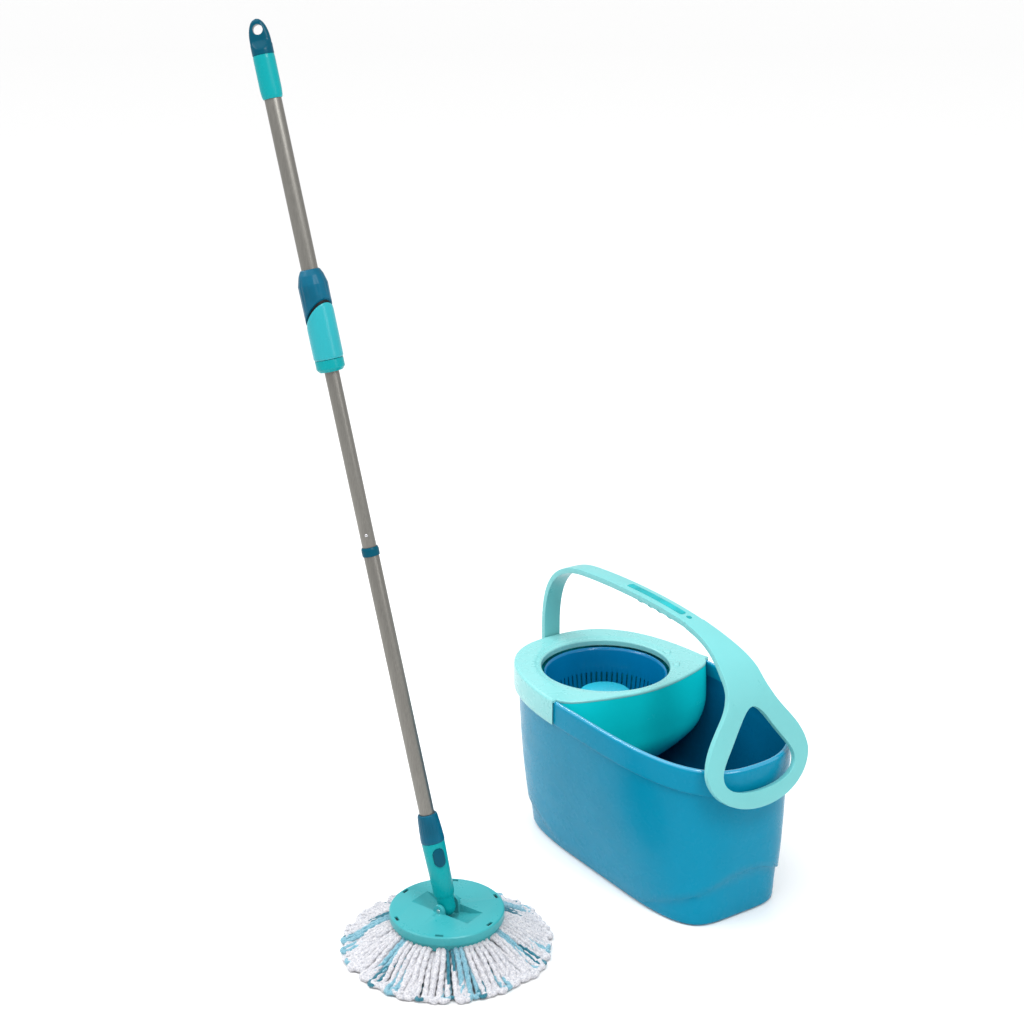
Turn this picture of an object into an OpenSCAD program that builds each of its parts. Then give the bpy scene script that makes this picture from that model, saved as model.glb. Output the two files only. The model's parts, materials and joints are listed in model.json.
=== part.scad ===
// Spin mop set: an oval bucket with a clip-on spinner insert, a spin basket and a
// lengthwise carrying bail, and a disc mop whose pump handle turns the mop head.
// Millimetres, +Z up. The origin is on the floor at the middle of the bucket base.
// +X is the pouring end of the bucket, and the mop stands on the -Y side.

/* [Bucket] */
// Length of the bucket over its rim
rim_l = 484; // [440:1:520]
// Width of the bucket over its rim
rim_w = 287; // [270:1:300]
// Height of the rim over the floor
rim_h = 270; // [262:1:285]
// How far the pouring end of the rim dips
rim_dip = 26; // [0:1:32]
// Height of the outer band below the rim
band_h = 37; // [25:1:45]
// How far the band stands proud of the wall
band_step = 4; // [2:0.5:5]
// Length of the base
base_l = 424; // [400:1:450]
// Width of the base
base_w = 200; // [180:1:220]
// Thickness of the moulded wall
wall = 3; // [2.5:0.1:4]

/* [Spinner insert and basket] */
// Centre of the spin basket from the bucket centre
basket_x = -105; // [-108:1:-102]
// Radius of the opening in the deck
opening_r = 97.5; // [96.5:0.5:98.5]
// Radius of the basket rim
basket_r = 94.4; // [91:0.1:95]
// Radius of the basket floor
basket_floor_r = 76; // [70:1:78]
// Number of slots round the basket
slot_n = 64; // [32:4:64]
// Height of the insert skirt over the band
skirt_h = 36; // [25:1:36]

/* [Bail] */
// Height of the bail pivot over the floor
bail_z = 201; // [196:1:204]
// Width of the bail strip
bail_w = 29; // [24:1:34]
// Thickness of the bail strip
bail_t = 9.2; // [8:0.1:9.4]
// Radius of the bail pivot pins
bail_pin_r = 6; // [4:0.5:7]

/* [Mop head] */
// Place of the mop head along the bucket
mop_x = 54; // [40:1:70]
// Place of the mop head beside the bucket
mop_y = -385; // [-420:1:-375]
// Radius of the turquoise disc
disc_r = 79; // [76:1:84]
// Height of the disc top over the floor
disc_top = 59; // [57:1:60]
// Thickness of the disc edge
disc_t = 12; // [11:0.5:13]
// Radius of the yarn fringe on the floor
fringe_r = 150; // [140:1:155]

/* [Handle] */
// Lean of the handle from upright, in degrees
lean = 13.9; // [0:0.1:20]
// Compass direction of the lean, in degrees from +X
lean_az = 200; // [190:1:210]
// Height of the head hinge over the floor
hinge_z = 61; // [60:0.5:63]
// Distance from the hinge to the tip of the handle
handle_l = 1200; // [1150:10:1250]
// Pitch of the twisted drive spindle
spindle_pitch = 100; // [80:5:140]

/* [Hidden] */
$fn = 96;

BUCKET_BLUE = [0.0, 0.56, 0.70];
AQUA = [0.52, 0.88, 0.85];
PETROL = [0.0, 0.33, 0.46];
TURQUOISE = [0.10, 0.66, 0.66];
CYAN = [0.08, 0.70, 0.86];
STEEL = [0.72, 0.73, 0.74];
TUBE_GREY = [0.56, 0.55, 0.53];
YARN = [0.93, 0.94, 0.95];
BLACK = [0.05, 0.06, 0.07];

eps = 0.01;              // overlap of a cutter past a face
ring_seg = 96;           // points round each moulded section
rim_cx = 1;              // the rim centre lies a little towards the pouring end
base_cx = 10;            // the base centre lies further towards it
rim_n = 2.6;             // fullness of the rim outline
base_n = 5;              // fullness of the base outline
plinth_h = 45;           // height of the set-back foot of the bucket
plinth_in = 2.5;         // how far the foot is set back
foot_rise = 35;          // the set-back foot rises this much further in the middle of the pouring end
foot_half = 90;          // half the width of that rise
foot_top = plinth_h + foot_rise;
lip = 6;                 // width of the rim lip
deck_t = 2.7;            // thickness of the insert deck
gap = 0.3;               // clearance between moulded pieces that only rest on each other
running = 0.05;          // radial clearance of pins and shafts in their bores
band_z = rim_h - band_h;
deck_z = rim_h + gap;
deck_top = deck_z + deck_t;
skirt_x = -38;           // the skirt ends here on both sides
skirt_w = 3;             // how far the skirt stands outside the rim

// Superellipse outline, counter-clockwise from +X.
function power(v, p) = sign(v) * pow(abs(v), p);
function outline(cx, l, w, n) =
  [for (i = [0:ring_seg - 1]) let (a = 360 * i / ring_seg)
    [cx + l / 2 * power(cos(a), 2 / n), w / 2 * power(sin(a), 2 / n)]];
// Dip of the rim towards the pouring end, 0 at the middle and 1 at the end.
function dip_at(x) = pow(min(1, max(0, (x - rim_cx) / (rim_l / 2))), 2);
// One ring of a moulded surface at height z; share tells how much of the dip it takes.
function ring_at(z, cx, l, w, n, share = 0) =
  [for (p = outline(cx, l, w, n)) [p[0], p[1], z - rim_dip * share * dip_at(p[0])]];
function mix(a, b, s) = a + (b - a) * s;
// Bezier curve of four points, and an arc, both as point lists.
function bezier(a, b, c, d, steps, first = 0) =
  [for (i = [first:steps]) let (s = i / steps, r = 1 - s)
    r * r * r * a + 3 * r * r * s * b + 3 * r * s * s * c + s * s * s * d];
function arc(cx, cy, rx, ry, from, to, steps) =
  [for (i = [0:steps]) let (a = mix(from, to, i / steps)) [cx + rx * cos(a), cy + ry * sin(a)]];

// Closed skin through a list of rings; rises outside first and comes back down inside.
module skin(rings) {
  n = len(rings[0]);
  last = (len(rings) - 1) * n;
  polyhedron(
    points = [for (r = rings) each r],
    faces = concat(
      [[for (i = [0:n - 1]) i]],
      [[for (i = [0:n - 1]) last + n - 1 - i]],
      [for (k = [0:len(rings) - 2], i = [0:n - 1]) let (j = (i + 1) % n)
        [k * n + i, (k + 1) * n + i, (k + 1) * n + j]],
      [for (k = [0:len(rings) - 2], i = [0:n - 1]) let (j = (i + 1) % n)
        [k * n + i, (k + 1) * n + j, k * n + j]]),
    convexity = 6);
}

// --- Bucket ---------------------------------------------------------------------

// Bowed side: share of the taper reached at height z.
bow = 0.10;
function flare(z) = let (s = z / band_z) s + bow * sin(180 * s);
function body_ring(z, inset) =
  let (f = flare(z), share = max(0, (z - plinth_h) / (band_z - plinth_h)))
  ring_at(z, mix(base_cx, rim_cx, f), mix(base_l, rim_l - 2 * band_step, f) - 2 * inset,
    mix(base_w, rim_w - 2 * band_step, f) - 2 * inset, mix(base_n, rim_n, pow(f, 0.6)), share);
// A ring of the foot that rises over the middle of the pouring end.
function foot_hump(p) = p[0] > 0 ? pow(cos(90 * min(1, abs(p[1]) / foot_half)), 1.2) : 0;
function foot_ring(z, inset) = let (level = body_ring(z, inset))
  [for (i = [0:ring_seg - 1]) body_ring(z + foot_rise * foot_hump(level[i]), inset)[i]];
function rim_ring(z, inset) = ring_at(z, rim_cx, rim_l - 2 * inset, rim_w - 2 * inset, rim_n, 1);

module bucket_shell() {
  color(BUCKET_BLUE)
  skin(concat(
    [body_ring(0, plinth_in + 4), body_ring(1.2, plinth_in + 1.4), body_ring(4, plinth_in)],
    [body_ring(20, plinth_in), foot_ring(plinth_h - 1, plinth_in), foot_ring(plinth_h + 1.5, 0)],
    [for (z = [110, 145, 180, 208]) body_ring(z, 0)],
    [body_ring(band_z - 0.5, 0), rim_ring(band_z + 0.5, 0.5), rim_ring(band_z + 2, 0)],
    [rim_ring(rim_h - 4, 0), rim_ring(rim_h - 1.2, 0.9), rim_ring(rim_h, 2.6)],
    [rim_ring(rim_h, lip - 2), rim_ring(rim_h - 1.2, lip - 0.6), rim_ring(rim_h - 5, lip)],
    [body_ring(band_z - 2, wall)],
    [for (z = [208, 180, 145, 110, foot_top + 12]) body_ring(z, wall)],
    [for (z = [foot_top + 6, 20]) body_ring(z, plinth_in + wall)],
    [body_ring(wall + 4, plinth_in + wall + 1)],
    [body_ring(wall, plinth_in + wall + 5)]));
}

// Outline of the rim grown by a distance, and the part of it that the insert covers.
module rim_plan(grow) {
  polygon(outline(rim_cx, rim_l + 2 * grow, rim_w + 2 * grow, rim_n));
}
// Tank sections upwards: height, centre, half length, half width, fullness, front bulge.
tank_low = 112;
tank_sections = [
  [tank_low, -101, 43, 48, 2, 0],
  [tank_low + 6, -102, 53, 60, 2.1, 2],
  [133, -105, 71, 82, 2.6, 8],
  [152, -106, 86, 104, 3.8, 13],
  [175, -105, 99, 120, 5.5, 12],
  [205, -111, 107, 132, 7.5, 12],
  [240, -115, 105, 138, 8, 19],
  [rim_h + gap, -120, 103, 141, 8, 27]
];
// One tank section at height z, shrunk by inset; its front bulges in the middle.
function tank_ring(s, inset, z) =
  let (a = s[2] - inset, b = s[3] - inset, n = s[4])
  [for (i = [0:ring_seg - 1])
    let (t = 360 * i / ring_seg, r = pow(pow(abs(cos(t)) / a, n) + pow(abs(sin(t)) / b, n), -1 / n),
      front = max(0, r * cos(t) / a), bulge = s[5] * front * pow(cos(90 * min(1, abs(r * sin(t)) / b)), 1.5))
    [s[1] + r * cos(t) + bulge, r * sin(t), z]];
deck_front = [for (p = tank_ring(tank_sections[len(tank_sections) - 1], 0, 0)) [p[0], p[1]]];
module insert_plan(grow) {
  intersection() {
    rim_plan(grow);
    union() {
      translate([skirt_x - rim_l, -rim_w]) square([rim_l, 2 * rim_w]);
      polygon(deck_front);
    }
  }
}

tank_wall = 2.5;
cavity_gap = 1;          // the tank keeps this far from the bucket wall
// The tank's solid form, shrunk by inset, with its bottom raised by lift and its top at top_z.
module tank_form(inset, lift, top_z) {
  clear = wall + cavity_gap + inset;
  lip_clear = lip + cavity_gap + inset;
  intersection() {
    skin([for (s = tank_sections)
      tank_ring(s, inset, s[0] == rim_h + gap ? top_z : s[0] + (s[0] < 130 ? lift : 0))]);
    skin(concat(
      [for (z = [100, 145, 180, 208, band_z - 2]) body_ring(z, clear)],
      [for (z = [rim_h - 5, rim_h + 5])
        ring_at(z, rim_cx, rim_l - 2 * lip_clear, rim_w - 2 * lip_clear, rim_n)]));
  }
}
drain_r = 4;
drain_ring_r = 28;
collar_h = 8;            // the funnel collar hangs this far below the deck
collar_w = 3;
module spinner_insert() {
  color(AQUA)
  resize([0, 0, 0])
  union() {
    difference() {
      union() {
        translate([0, 0, deck_z]) linear_extrude(deck_t) insert_plan(skirt_w);
        tank_form(0.2, 0, deck_z + 1);
      }
      difference() {
        tank_form(tank_wall, tank_wall, deck_z);
        translate([basket_x, 0, deck_z - collar_h]) cylinder(r = opening_r + collar_w, h = 20);
      }
      translate([basket_x, 0, deck_z - 20]) cylinder(r = opening_r, h = 30);
      translate([basket_x, 0, deck_top - 2])
        cylinder(r1 = opening_r - 0.2, r2 = opening_r + collar_w, h = 2.5);
      for (i = [0:5]) translate([basket_x, 0, 100]) rotate(60 * i + 30)
        translate([drain_ring_r, 0, 0]) cylinder(r = drain_r, h = 30, $fn = 24);
    }
    // skirt that clips over the rim band
    translate([0, 0, deck_z - skirt_h]) linear_extrude(skirt_h + 1) intersection() {
      difference() {
        rim_plan(skirt_w);
        rim_plan(gap);
      }
      translate([skirt_x - rim_l, -rim_w]) square([rim_l, 2 * rim_w]);
    }
  }
}

// Two snap latches on the deck beside the opening.
latch_l = 15;
latch_w = 8;
latch_h = 4;
latch_arch_r = 12;
module basket_clips() {
  color(AQUA) for (a = [55, 82])
    translate([basket_x, 0, deck_top]) rotate(a) translate([opening_r + 10.5, 0, 0])
    intersection() {
      translate([-latch_w / 2, -latch_l / 2, eps]) cube([latch_w, latch_l, latch_h + 1]);
      translate([0, 0, latch_h - latch_arch_r]) rotate([90, 0, 0])
        cylinder(r = latch_arch_r, h = latch_l, center = true);
    }
}

// --- Basket and its axle ----------------------------------------------------------

tank_floor = tank_low + tank_wall;
basket_floor = 160;
basket_top = deck_top - 11;
basket_wall = 2.5;
axle_top = 206;
axle_r = 5;
module at_basket() {
  translate([basket_x, 0, 0]) children();
}
module basket_axle() {
  color(STEEL) at_basket() {
    translate([0, 0, tank_floor]) cylinder(r = 20, h = 3);
    translate([0, 0, tank_floor]) cylinder(r = 9, h = basket_floor - tank_floor - 1);
    difference() {
      cylinder_between(axle_r, tank_floor, axle_top);
      translate([0, 0, axle_top - 4]) difference() {
        cylinder(r = axle_r + 1, h = 1.4);
        cylinder(r = axle_r - 1, h = 1.4);
      }
    }
  }
}
module cylinder_between(r, from, to) {
  translate([0, 0, from]) cylinder(r = r, h = to - from);
}
module axle_screws() {
  color(STEEL) at_basket() for (i = [0:2]) rotate(120 * i) translate([14.5, 0, 0]) difference() {
    cylinder_between(3, tank_floor + 3, tank_floor + 5);
    translate([-0.5, -4, tank_floor + 4]) cube([1, 8, 2]);
  }
}
module axle_clip() {
  color(STEEL) at_basket() translate([0, 0, axle_top - 3.9]) difference() {
    cylinder(r = 8, h = 1.2);
    translate([0, 0, -1]) cylinder(r = axle_r - 0.95, h = 4);
    translate([0, -2.5, -1]) cube([10, 5, 4]);
  }
}
bearing_r = 9;
bearing_top = axle_top - 6;
floor_t = 3;             // thickness of the basket floor
bead = 2.6;              // the rolled rim stands this far outside the wall
slot_w = 2.4;
slot_l = 55;
module spin_basket() {
  color(PETROL) at_basket() difference() {
    rotate_extrude() polygon([[bearing_r, basket_floor], [basket_floor_r, basket_floor],
      [basket_r - bead, basket_top - 3], [basket_r, basket_top - 2], [basket_r, basket_top],
      [basket_r - bead - basket_wall, basket_top], [basket_floor_r - basket_wall, basket_floor + floor_t],
      [bearing_r + 4, basket_floor + floor_t], [bearing_r + 3, bearing_top], [bearing_r, bearing_top]]);
    for (i = [0:slot_n - 1]) rotate(360 * (i + 0.5) / slot_n)
      translate([60, -slot_w / 2, basket_floor + 7]) cube([40, slot_w, slot_l]);
    // drain slots in the floor
    for (i = [0:11]) rotate(30 * i + 15) translate([54, -2, basket_floor - 1]) cube([15, 4, floor_t + 2]);
  }
}
module basket_bearing() {
  color(BLACK) at_basket() difference() {
    union() {
      cylinder_between(bearing_r - 0.06, basket_floor - 0.5, bearing_top);
      cylinder_between(bearing_r + 2, bearing_top + eps, bearing_top + 1.2);
      cylinder_between(bearing_r - 0.06, basket_floor, bearing_top + 1);
    }
    cylinder_between(axle_r + running, basket_floor - 2, bearing_top + 3);
  }
}
hub_r = 48;
hub_top_r = 38;
hub_top = 227;
module basket_hub() {
  color(CYAN) at_basket() rotate_extrude() polygon(concat(
    [[hub_r, basket_floor + floor_t + eps], [hub_top_r + 3, hub_top - 5]],
    arc(hub_top_r - 2, hub_top - 5, 5, 5, 10, 80, 4),
    [[20, hub_top + 1.4], [0, hub_top + 2], [0, hub_top - 1], [hub_top_r - 2, hub_top - 2.5],
      [hub_r - 2.8, basket_floor + floor_t + eps]]));
}

// --- Bail -------------------------------------------------------------------------

bail_back_x = rim_cx - rim_l / 2 - skirt_w - 1.2 - bail_t / 2;
bail_end_z = bail_z - bail_w / 2;
ring_top = [226, 318];
ring_foot = [258, 186];
// Side view of the strip's centre line, from the back leg over the top to the ring.
bail_line = concat(
  [[bail_back_x, bail_end_z]],
  bezier([bail_back_x, 290], [bail_back_x, 372], [-215, 404], [-140, 409], 12),
  bezier([-140, 409], [-60, 415], [30, 414], [95, 406], 10, 1),
  bezier([95, 406], [165, 396], [212, 372], ring_top, 10, 1),
  [ring_foot]);
bail_n = len(bail_line);
function unit(v) = v / norm(v);
function turn_at(i) = unit(bail_line[min(bail_n - 1, i + 1)] - bail_line[max(0, i - 1)]);
function side(i, off) = bail_line[i] + off * [-turn_at(i)[1], turn_at(i)[0]];
// Band of the side view between two distances from the centre line.
function band(low, high, from, to) = concat([for (i = [from:to]) side(i, low)],
  [for (i = [to:-1:from]) side(i, high)]);
// Front view of the ring that the front leg widens into.
// Half outlines run from the top of the neck or hole down to the middle of the foot.
ring_half = 90;
ring_low = bail_z - 11;
ring_neck = [31, 365];   // the strip has widened this far here
ring_wide = 252;         // height of the widest place
half_outer = concat(
  bezier([bail_w / 2, 412], [16, 395], [27, 385], ring_neck, 8),
  bezier(ring_neck, [33, 320], [84, 300], [ring_half, ring_wide], 14, 1),
  bezier([ring_half, ring_wide], [ring_half, 222], [56, ring_low], [0, ring_low], 16, 1));
hole_half = 64;
hole_low = 213;
hole_shoulder = [36, 290];
half_hole = concat(
  bezier([0, 326], [13, 326], [24, 306], hole_shoulder, 8),
  bezier(hole_shoulder, [50, 270], [hole_half, 256], [hole_half, 243], 8, 1),
  bezier([hole_half, 243], [hole_half, 222], [35, hole_low], [0, hole_low], 12, 1));
// The half outline and its mirror image; first is where the mirrored half begins.
function mirrored(half, first) =
  concat(half, [for (i = [len(half) - 2:-1:first]) [-half[i][0], half[i][1]]]);
ring_outer = concat([[bail_w / 2, 425]], mirrored(half_outer, 0), [[-bail_w / 2, 425]]);
ring_hole = mirrored(half_hole, 1);
ring_from = 100;         // the front view shapes the bail from here forwards
module side_view(length, low, high, from = 0, to = bail_n - 1) {
  translate([0, length / 2, 0]) rotate([90, 0, 0]) linear_extrude(length) polygon(band(low, high, from, to));
}
module front_view(from, to) {
  translate([from, 0, 0]) rotate([90, 0, 90]) linear_extrude(to - from) children();
}
ridge_xs = [-9, 14, 36, 58];
ridge_r = 4.5;
module bail() {
  color(AQUA) difference() {
    union() {
      intersection() {
        side_view(2 * ring_half + 2, -bail_t / 2, bail_t / 2);
        front_view(ring_from, 280) difference() {
          polygon(ring_outer);
          polygon(ring_hole);
        }
      }
      intersection() {
        side_view(bail_w, -bail_t / 2, bail_t / 2);
        union() {
          translate([-300, -50, bail_z]) cube([301 + ring_from, 100, 300]);
          translate([-300, 0, bail_z]) rotate([0, 90, 0]) cylinder(r = bail_w / 2, h = 300);
        }
      }
      // finger ridges under the grip
      for (x = ridge_xs) translate([x, 0, 411 - 0.09 * max(0, x - 10) - bail_t / 2]) rotate([90, 0, 0])
        cylinder(r = ridge_r, h = bail_w - 8, center = true);
    }
    translate([bail_back_x - 2, 0, bail_z]) rotate([0, 90, 0]) cylinder(r = bail_pin_r + running, h = 20);
    translate([230, 0, bail_z]) rotate([0, 90, 0]) cylinder(r = bail_pin_r + running, h = 26.4);
  }
}
module grip_inlay() {
  inlay_w = 11;
  color(TURQUOISE) {
    intersection() {
      side_view(inlay_w, bail_t / 2 + eps, bail_t / 2 + 1.3);
      translate([-50, -50, 380]) cube([125, 100, 60]);
    }
    intersection() {
      side_view(6, bail_t / 2 + eps, bail_t / 2 + 1.3);
      translate([83, -50, 380]) cube([8, 100, 60]);
    }
  }
}
module bail_pins() {
  color(BUCKET_BLUE) {
    translate([231, 0, bail_z]) rotate([0, 90, 0]) cylinder(r = bail_pin_r, h = 25);
    translate([234, 0, bail_z]) rotate([0, 90, 0]) cylinder(r = 12, h = 8);
    translate([bail_back_x - 1.5, 0, bail_z]) rotate([0, 90, 0]) cylinder(r = bail_pin_r, h = 24);
    translate([bail_back_x + bail_t / 2 + 1, 0, bail_z]) rotate([0, 90, 0]) cylinder(r = 12, h = 12);
  }
}

// --- Mop head ---------------------------------------------------------------------

// The head is drawn round the mop's upright axis, turned so that +X is the lean direction.
module at_head() {
  translate([mop_x, mop_y, 0]) rotate(lean_az) children();
}
// The handle is drawn along +Z from the hinge.
module at_handle() {
  translate([mop_x, mop_y, hinge_z]) rotate([0, lean, lean_az]) children();
}
disc_low = disc_top - disc_t;
hub_low = 36;
hub_head_r = 27;
pad_gap = 0.6;
clip_n = 6;
clip_ring_r = 73;
trough_w = 34;
module clip_slots(w, l, from, to) {
  for (i = [0:clip_n - 1]) rotate(360 * i / clip_n)
    translate([clip_ring_r - w / 2, -l / 2, from]) cube([w, l, to - from]);
}
module mop_fringe() {
  color(YARN) at_head() rotate_extrude() polygon([[72, 0], [fringe_r - 3, 0], [fringe_r, 7],
    [fringe_r - 4, 17], [120, 33], [95, 42], [80, disc_low - pad_gap], [76.6, disc_low - pad_gap],
    [76.6, hub_low - 0.4], [50, hub_low - 0.4], [50, 30], [62, 20]]);
}
module pad_ring() {
  color(TURQUOISE) at_head() difference() {
    cylinder_between(76, hub_low, disc_low - pad_gap);
    cylinder_between(hub_head_r + 3, hub_low - 1, disc_top);
    for (i = [0:11]) rotate(30 * i + 15) translate([52, 0, hub_low - 1]) cylinder(r = 6, h = 20);
  }
}
module ring_clips() {
  color(BLACK) at_head() clip_slots(3.6, 10, disc_low - pad_gap + eps, disc_top - 2);
}
ear_in = 14.1;
ear_out = 19.2;
hinge_r = 3;
module mop_disc() {
  color(TURQUOISE) at_head() difference() {
    union() {
      cylinder_between(disc_r, disc_low, disc_top - 1.5);
      translate([0, 0, disc_top - 1.5]) cylinder(r1 = disc_r, r2 = disc_r - 1.5, h = 1.5);
      cylinder_between(hub_head_r, hub_low, disc_low + 1);
      for (s = [-1, 1]) translate([0, s > 0 ? ear_out : -ear_in, hinge_z]) rotate([90, 0, 0])
        cylinder(r = 8.5, h = ear_out - ear_in);
      for (s = [-1, 1]) translate([-8.5, s > 0 ? ear_in : -ear_out, disc_low])
        cube([17, ear_out - ear_in, hinge_z - disc_low]);
    }
    // cup for the round end of the socket and troughs for a lowered handle
    translate([0, ear_in, 0]) rotate([90, 0, 0]) linear_extrude(2 * ear_in)
      polygon(concat([[-50, disc_top + 0.2], [50, disc_top + 0.2]],
        arc(0, hinge_z, 16.8, 16.8, -28, -152, 16)));
    for (s = [-1, 1]) rotate(s > 0 ? 0 : 180) translate([0, trough_w / 2, 0]) rotate([90, 0, 0])
      linear_extrude(trough_w) polygon([[9, disc_top + 1], [50, disc_top + 1], [48, disc_top - 0.5],
        [30, disc_top - 7.5], [9, disc_top - 12]]);
    clip_slots(4.4, 11, disc_low - 1, disc_top + 1);
    translate([0, 30, hinge_z]) rotate([90, 0, 0]) cylinder(r = hinge_r + 0.01, h = 60);
    // weight-saving ring under the disc
    difference() {
      cylinder_between(70, disc_low - 1, disc_low + 5);
      cylinder_between(54, disc_low - 2, disc_low + 6);
    }
  }
}
module hinge_pin() {
  color(STEEL) at_head() translate([0, ear_out + 0.4, hinge_z]) rotate([90, 0, 0])
    cylinder(r = hinge_r, h = 2 * ear_out + 0.8);
}

// --- Lower shaft ------------------------------------------------------------------

socket_r = 16;
yoke_r = 13.4;
yoke_half = 13.8;
lower_r = 10.4;
lower_top = 506;
inner_r = 9.6;
inner_bore = 8.6;
inner_from = 440;
inner_top = 860;
socket_top = 95;
collar_top = 135;
button_t = 75;
button_az = 148;         // which way the button faces, from the lean direction
front_az = 128;          // which way the snap pin, lock tongue and hanging eye face
button_face = 13.7;
module tube(r, bore, from, to) {
  difference() {
    cylinder_between(r, from, to);
    cylinder_between(bore, from - 1, to + 1);
  }
}
// Upright oval prism reaching out from the axis, used for the button and its window.
module oval(half_w, half_l, from, to, up) {
  rotate(button_az) translate([from, 0, up]) rotate([0, 90, 0]) {
    for (s = [-1, 1]) translate([s * (half_l - half_w), 0, 0]) cylinder(r = half_w, h = to - from);
    translate([half_w - half_l, -half_w, 0]) cube([2 * (half_l - half_w), 2 * half_w, to - from]);
  }
}
module socket() {
  color(TURQUOISE) at_handle() difference() {
    union() {
      intersection() {
        union() {
          sphere(r = yoke_r);
          cylinder_between(yoke_r, 0, 14);
        }
        translate([-20, -yoke_half, -20]) cube([40, 2 * yoke_half, 60]);
      }
      translate([0, 0, 14]) cylinder(r1 = yoke_r, r2 = socket_r, h = 6);
      cylinder_between(socket_r, 20, socket_top);
    }
    cylinder_between(lower_r + 0.02, 28, socket_top + 1);
    cylinder_between(11.5, button_t - 8, button_t + 8);
    oval(8.3, 13.3, 9, 20, button_t);
    translate([0, 20, 0]) rotate([90, 0, 0]) cylinder(r = hinge_r + running, h = 40);
  }
}
module release_button() {
  color(PETROL) at_handle() intersection() {
    oval(8, 13, button_face, 20, button_t);
    cylinder_between(17.4, button_t - 20, button_t + 20);
  }
}
module button_spring() {
  color(STEEL) at_handle() difference() {
    tube(11, lower_r + 0.05, button_t - 6, button_t + 6);
    rotate(button_az + 180) translate([0, -3, button_t - 10]) cube([20, 6, 20]);
  }
}
module socket_collar() {
  color(PETROL) at_handle() difference() {
    union() {
      translate([0, 0, socket_top + eps]) cylinder(r1 = socket_r, r2 = 14.2, h = collar_top - socket_top - 3);
      translate([0, 0, collar_top - 3]) cylinder(r1 = 14.2, r2 = 12.6, h = 3);
    }
    cylinder_between(lower_r + 0.02, socket_top - 1, collar_top + 1);
  }
}
module lower_tube() {
  color(TUBE_GREY) at_handle() tube(lower_r, inner_r + 0.03, 30, lower_top);
}
module tube_ring() {
  color(PETROL) at_handle() difference() {
    union() {
      cylinder_between(11.8, 499, 509);
      translate([0, 0, 509]) cylinder(r1 = 11.8, r2 = 10.8, h = 2);
    }
    cylinder_between(lower_r + 0.02, 490, lower_top);
    cylinder_between(inner_r + 0.03, 500, 520);
  }
}
snap_t = 528;
snap_r = 2.2;
module radial_pin(r, from, to, up, az) {
  rotate(az) translate([from, 0, up]) rotate([0, 90, 0]) cylinder(r = r, h = to - from);
}
module inner_tube() {
  color(TUBE_GREY) at_handle() difference() {
    tube(inner_r, inner_bore, inner_from, inner_top);
    radial_pin(snap_r + 0.05, 5, 12, snap_t, front_az);
  }
}
module snap_pin() {
  color(STEEL) at_handle() radial_pin(snap_r, 7.2, 10.7, snap_t, front_az);
}

// Twisted strip of the drive spindle, grown all round by a clearance.
spindle_from = 605;
spindle_to = 1122;
strip_w = 8;
strip_t = 2.6;
slice_turn = 7.5;        // degrees of twist in one slice
function strip_ring(z, half_w, half_t) = let (a = -360 * (z - spindle_from) / spindle_pitch)
  [for (c = [[-1, -1], [1, -1], [1, 1], [-1, 1]])
    [c[0] * half_w * cos(a) - c[1] * half_t * sin(a), c[0] * half_w * sin(a) + c[1] * half_t * cos(a), z]];
module twisted_strip(grow, from, to) {
  slices = ceil(360 * (to - from) / spindle_pitch / slice_turn);
  skin([for (k = [0:slices]) strip_ring(mix(from, to, k / slices), strip_w / 2 + grow, strip_t / 2 + grow)]);
}
nut_from = 842;
module drive_nut() {
  color(PETROL) at_handle() difference() {
    cylinder_between(inner_bore - 0.06, nut_from, inner_top);
    twisted_strip(0.35, nut_from - 5, inner_top + 5);
  }
}
module nut_ring() {
  color(STEEL) at_handle() difference() {
    cylinder_between(inner_r, inner_top + eps, inner_top + 2.5);
    cylinder_between(5.2, inner_top - 1, inner_top + 4);
  }
}

// --- Upper handle -----------------------------------------------------------------

bush_from = 748;
bush_to = 764;
grip_r = 19.5;
core_r = 16.4;
upper_r = 11;
upper_bore = 10;
upper_from = 767;
sleeve_from = 1100;
sleeve_to = 1155;
module guide_bush() {
  color(TURQUOISE) at_handle() difference() {
    union() {
      translate([0, 0, bush_from]) cylinder(r1 = 15.5, r2 = 18.8, h = 3.5);
      cylinder_between(18.8, bush_from + 3.5, bush_to);
    }
    cylinder_between(inner_r + running, bush_from - 1, bush_to + 1);
  }
}
module thrust_washer() {
  color(STEEL) at_handle() tube(15, inner_r + 0.4, bush_to + 0.4, bush_to + 1.6);
}
module spindle() {
  color(STEEL) at_handle() twisted_strip(0, spindle_from, spindle_to);
}
module spindle_stop() {
  color(STEEL) at_handle() cylinder_between(5.5, spindle_from - 3, spindle_from - eps);
}
module spindle_plug() {
  color(BLACK) at_handle() difference() {
    cylinder_between(upper_bore - 0.06, spindle_to - 24, spindle_to + 6);
    twisted_strip(0.03, spindle_from, spindle_to);
  }
}
module upper_tube() {
  color(TUBE_GREY) at_handle() tube(upper_r, upper_bore, upper_from, sleeve_to + 8);
}
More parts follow.
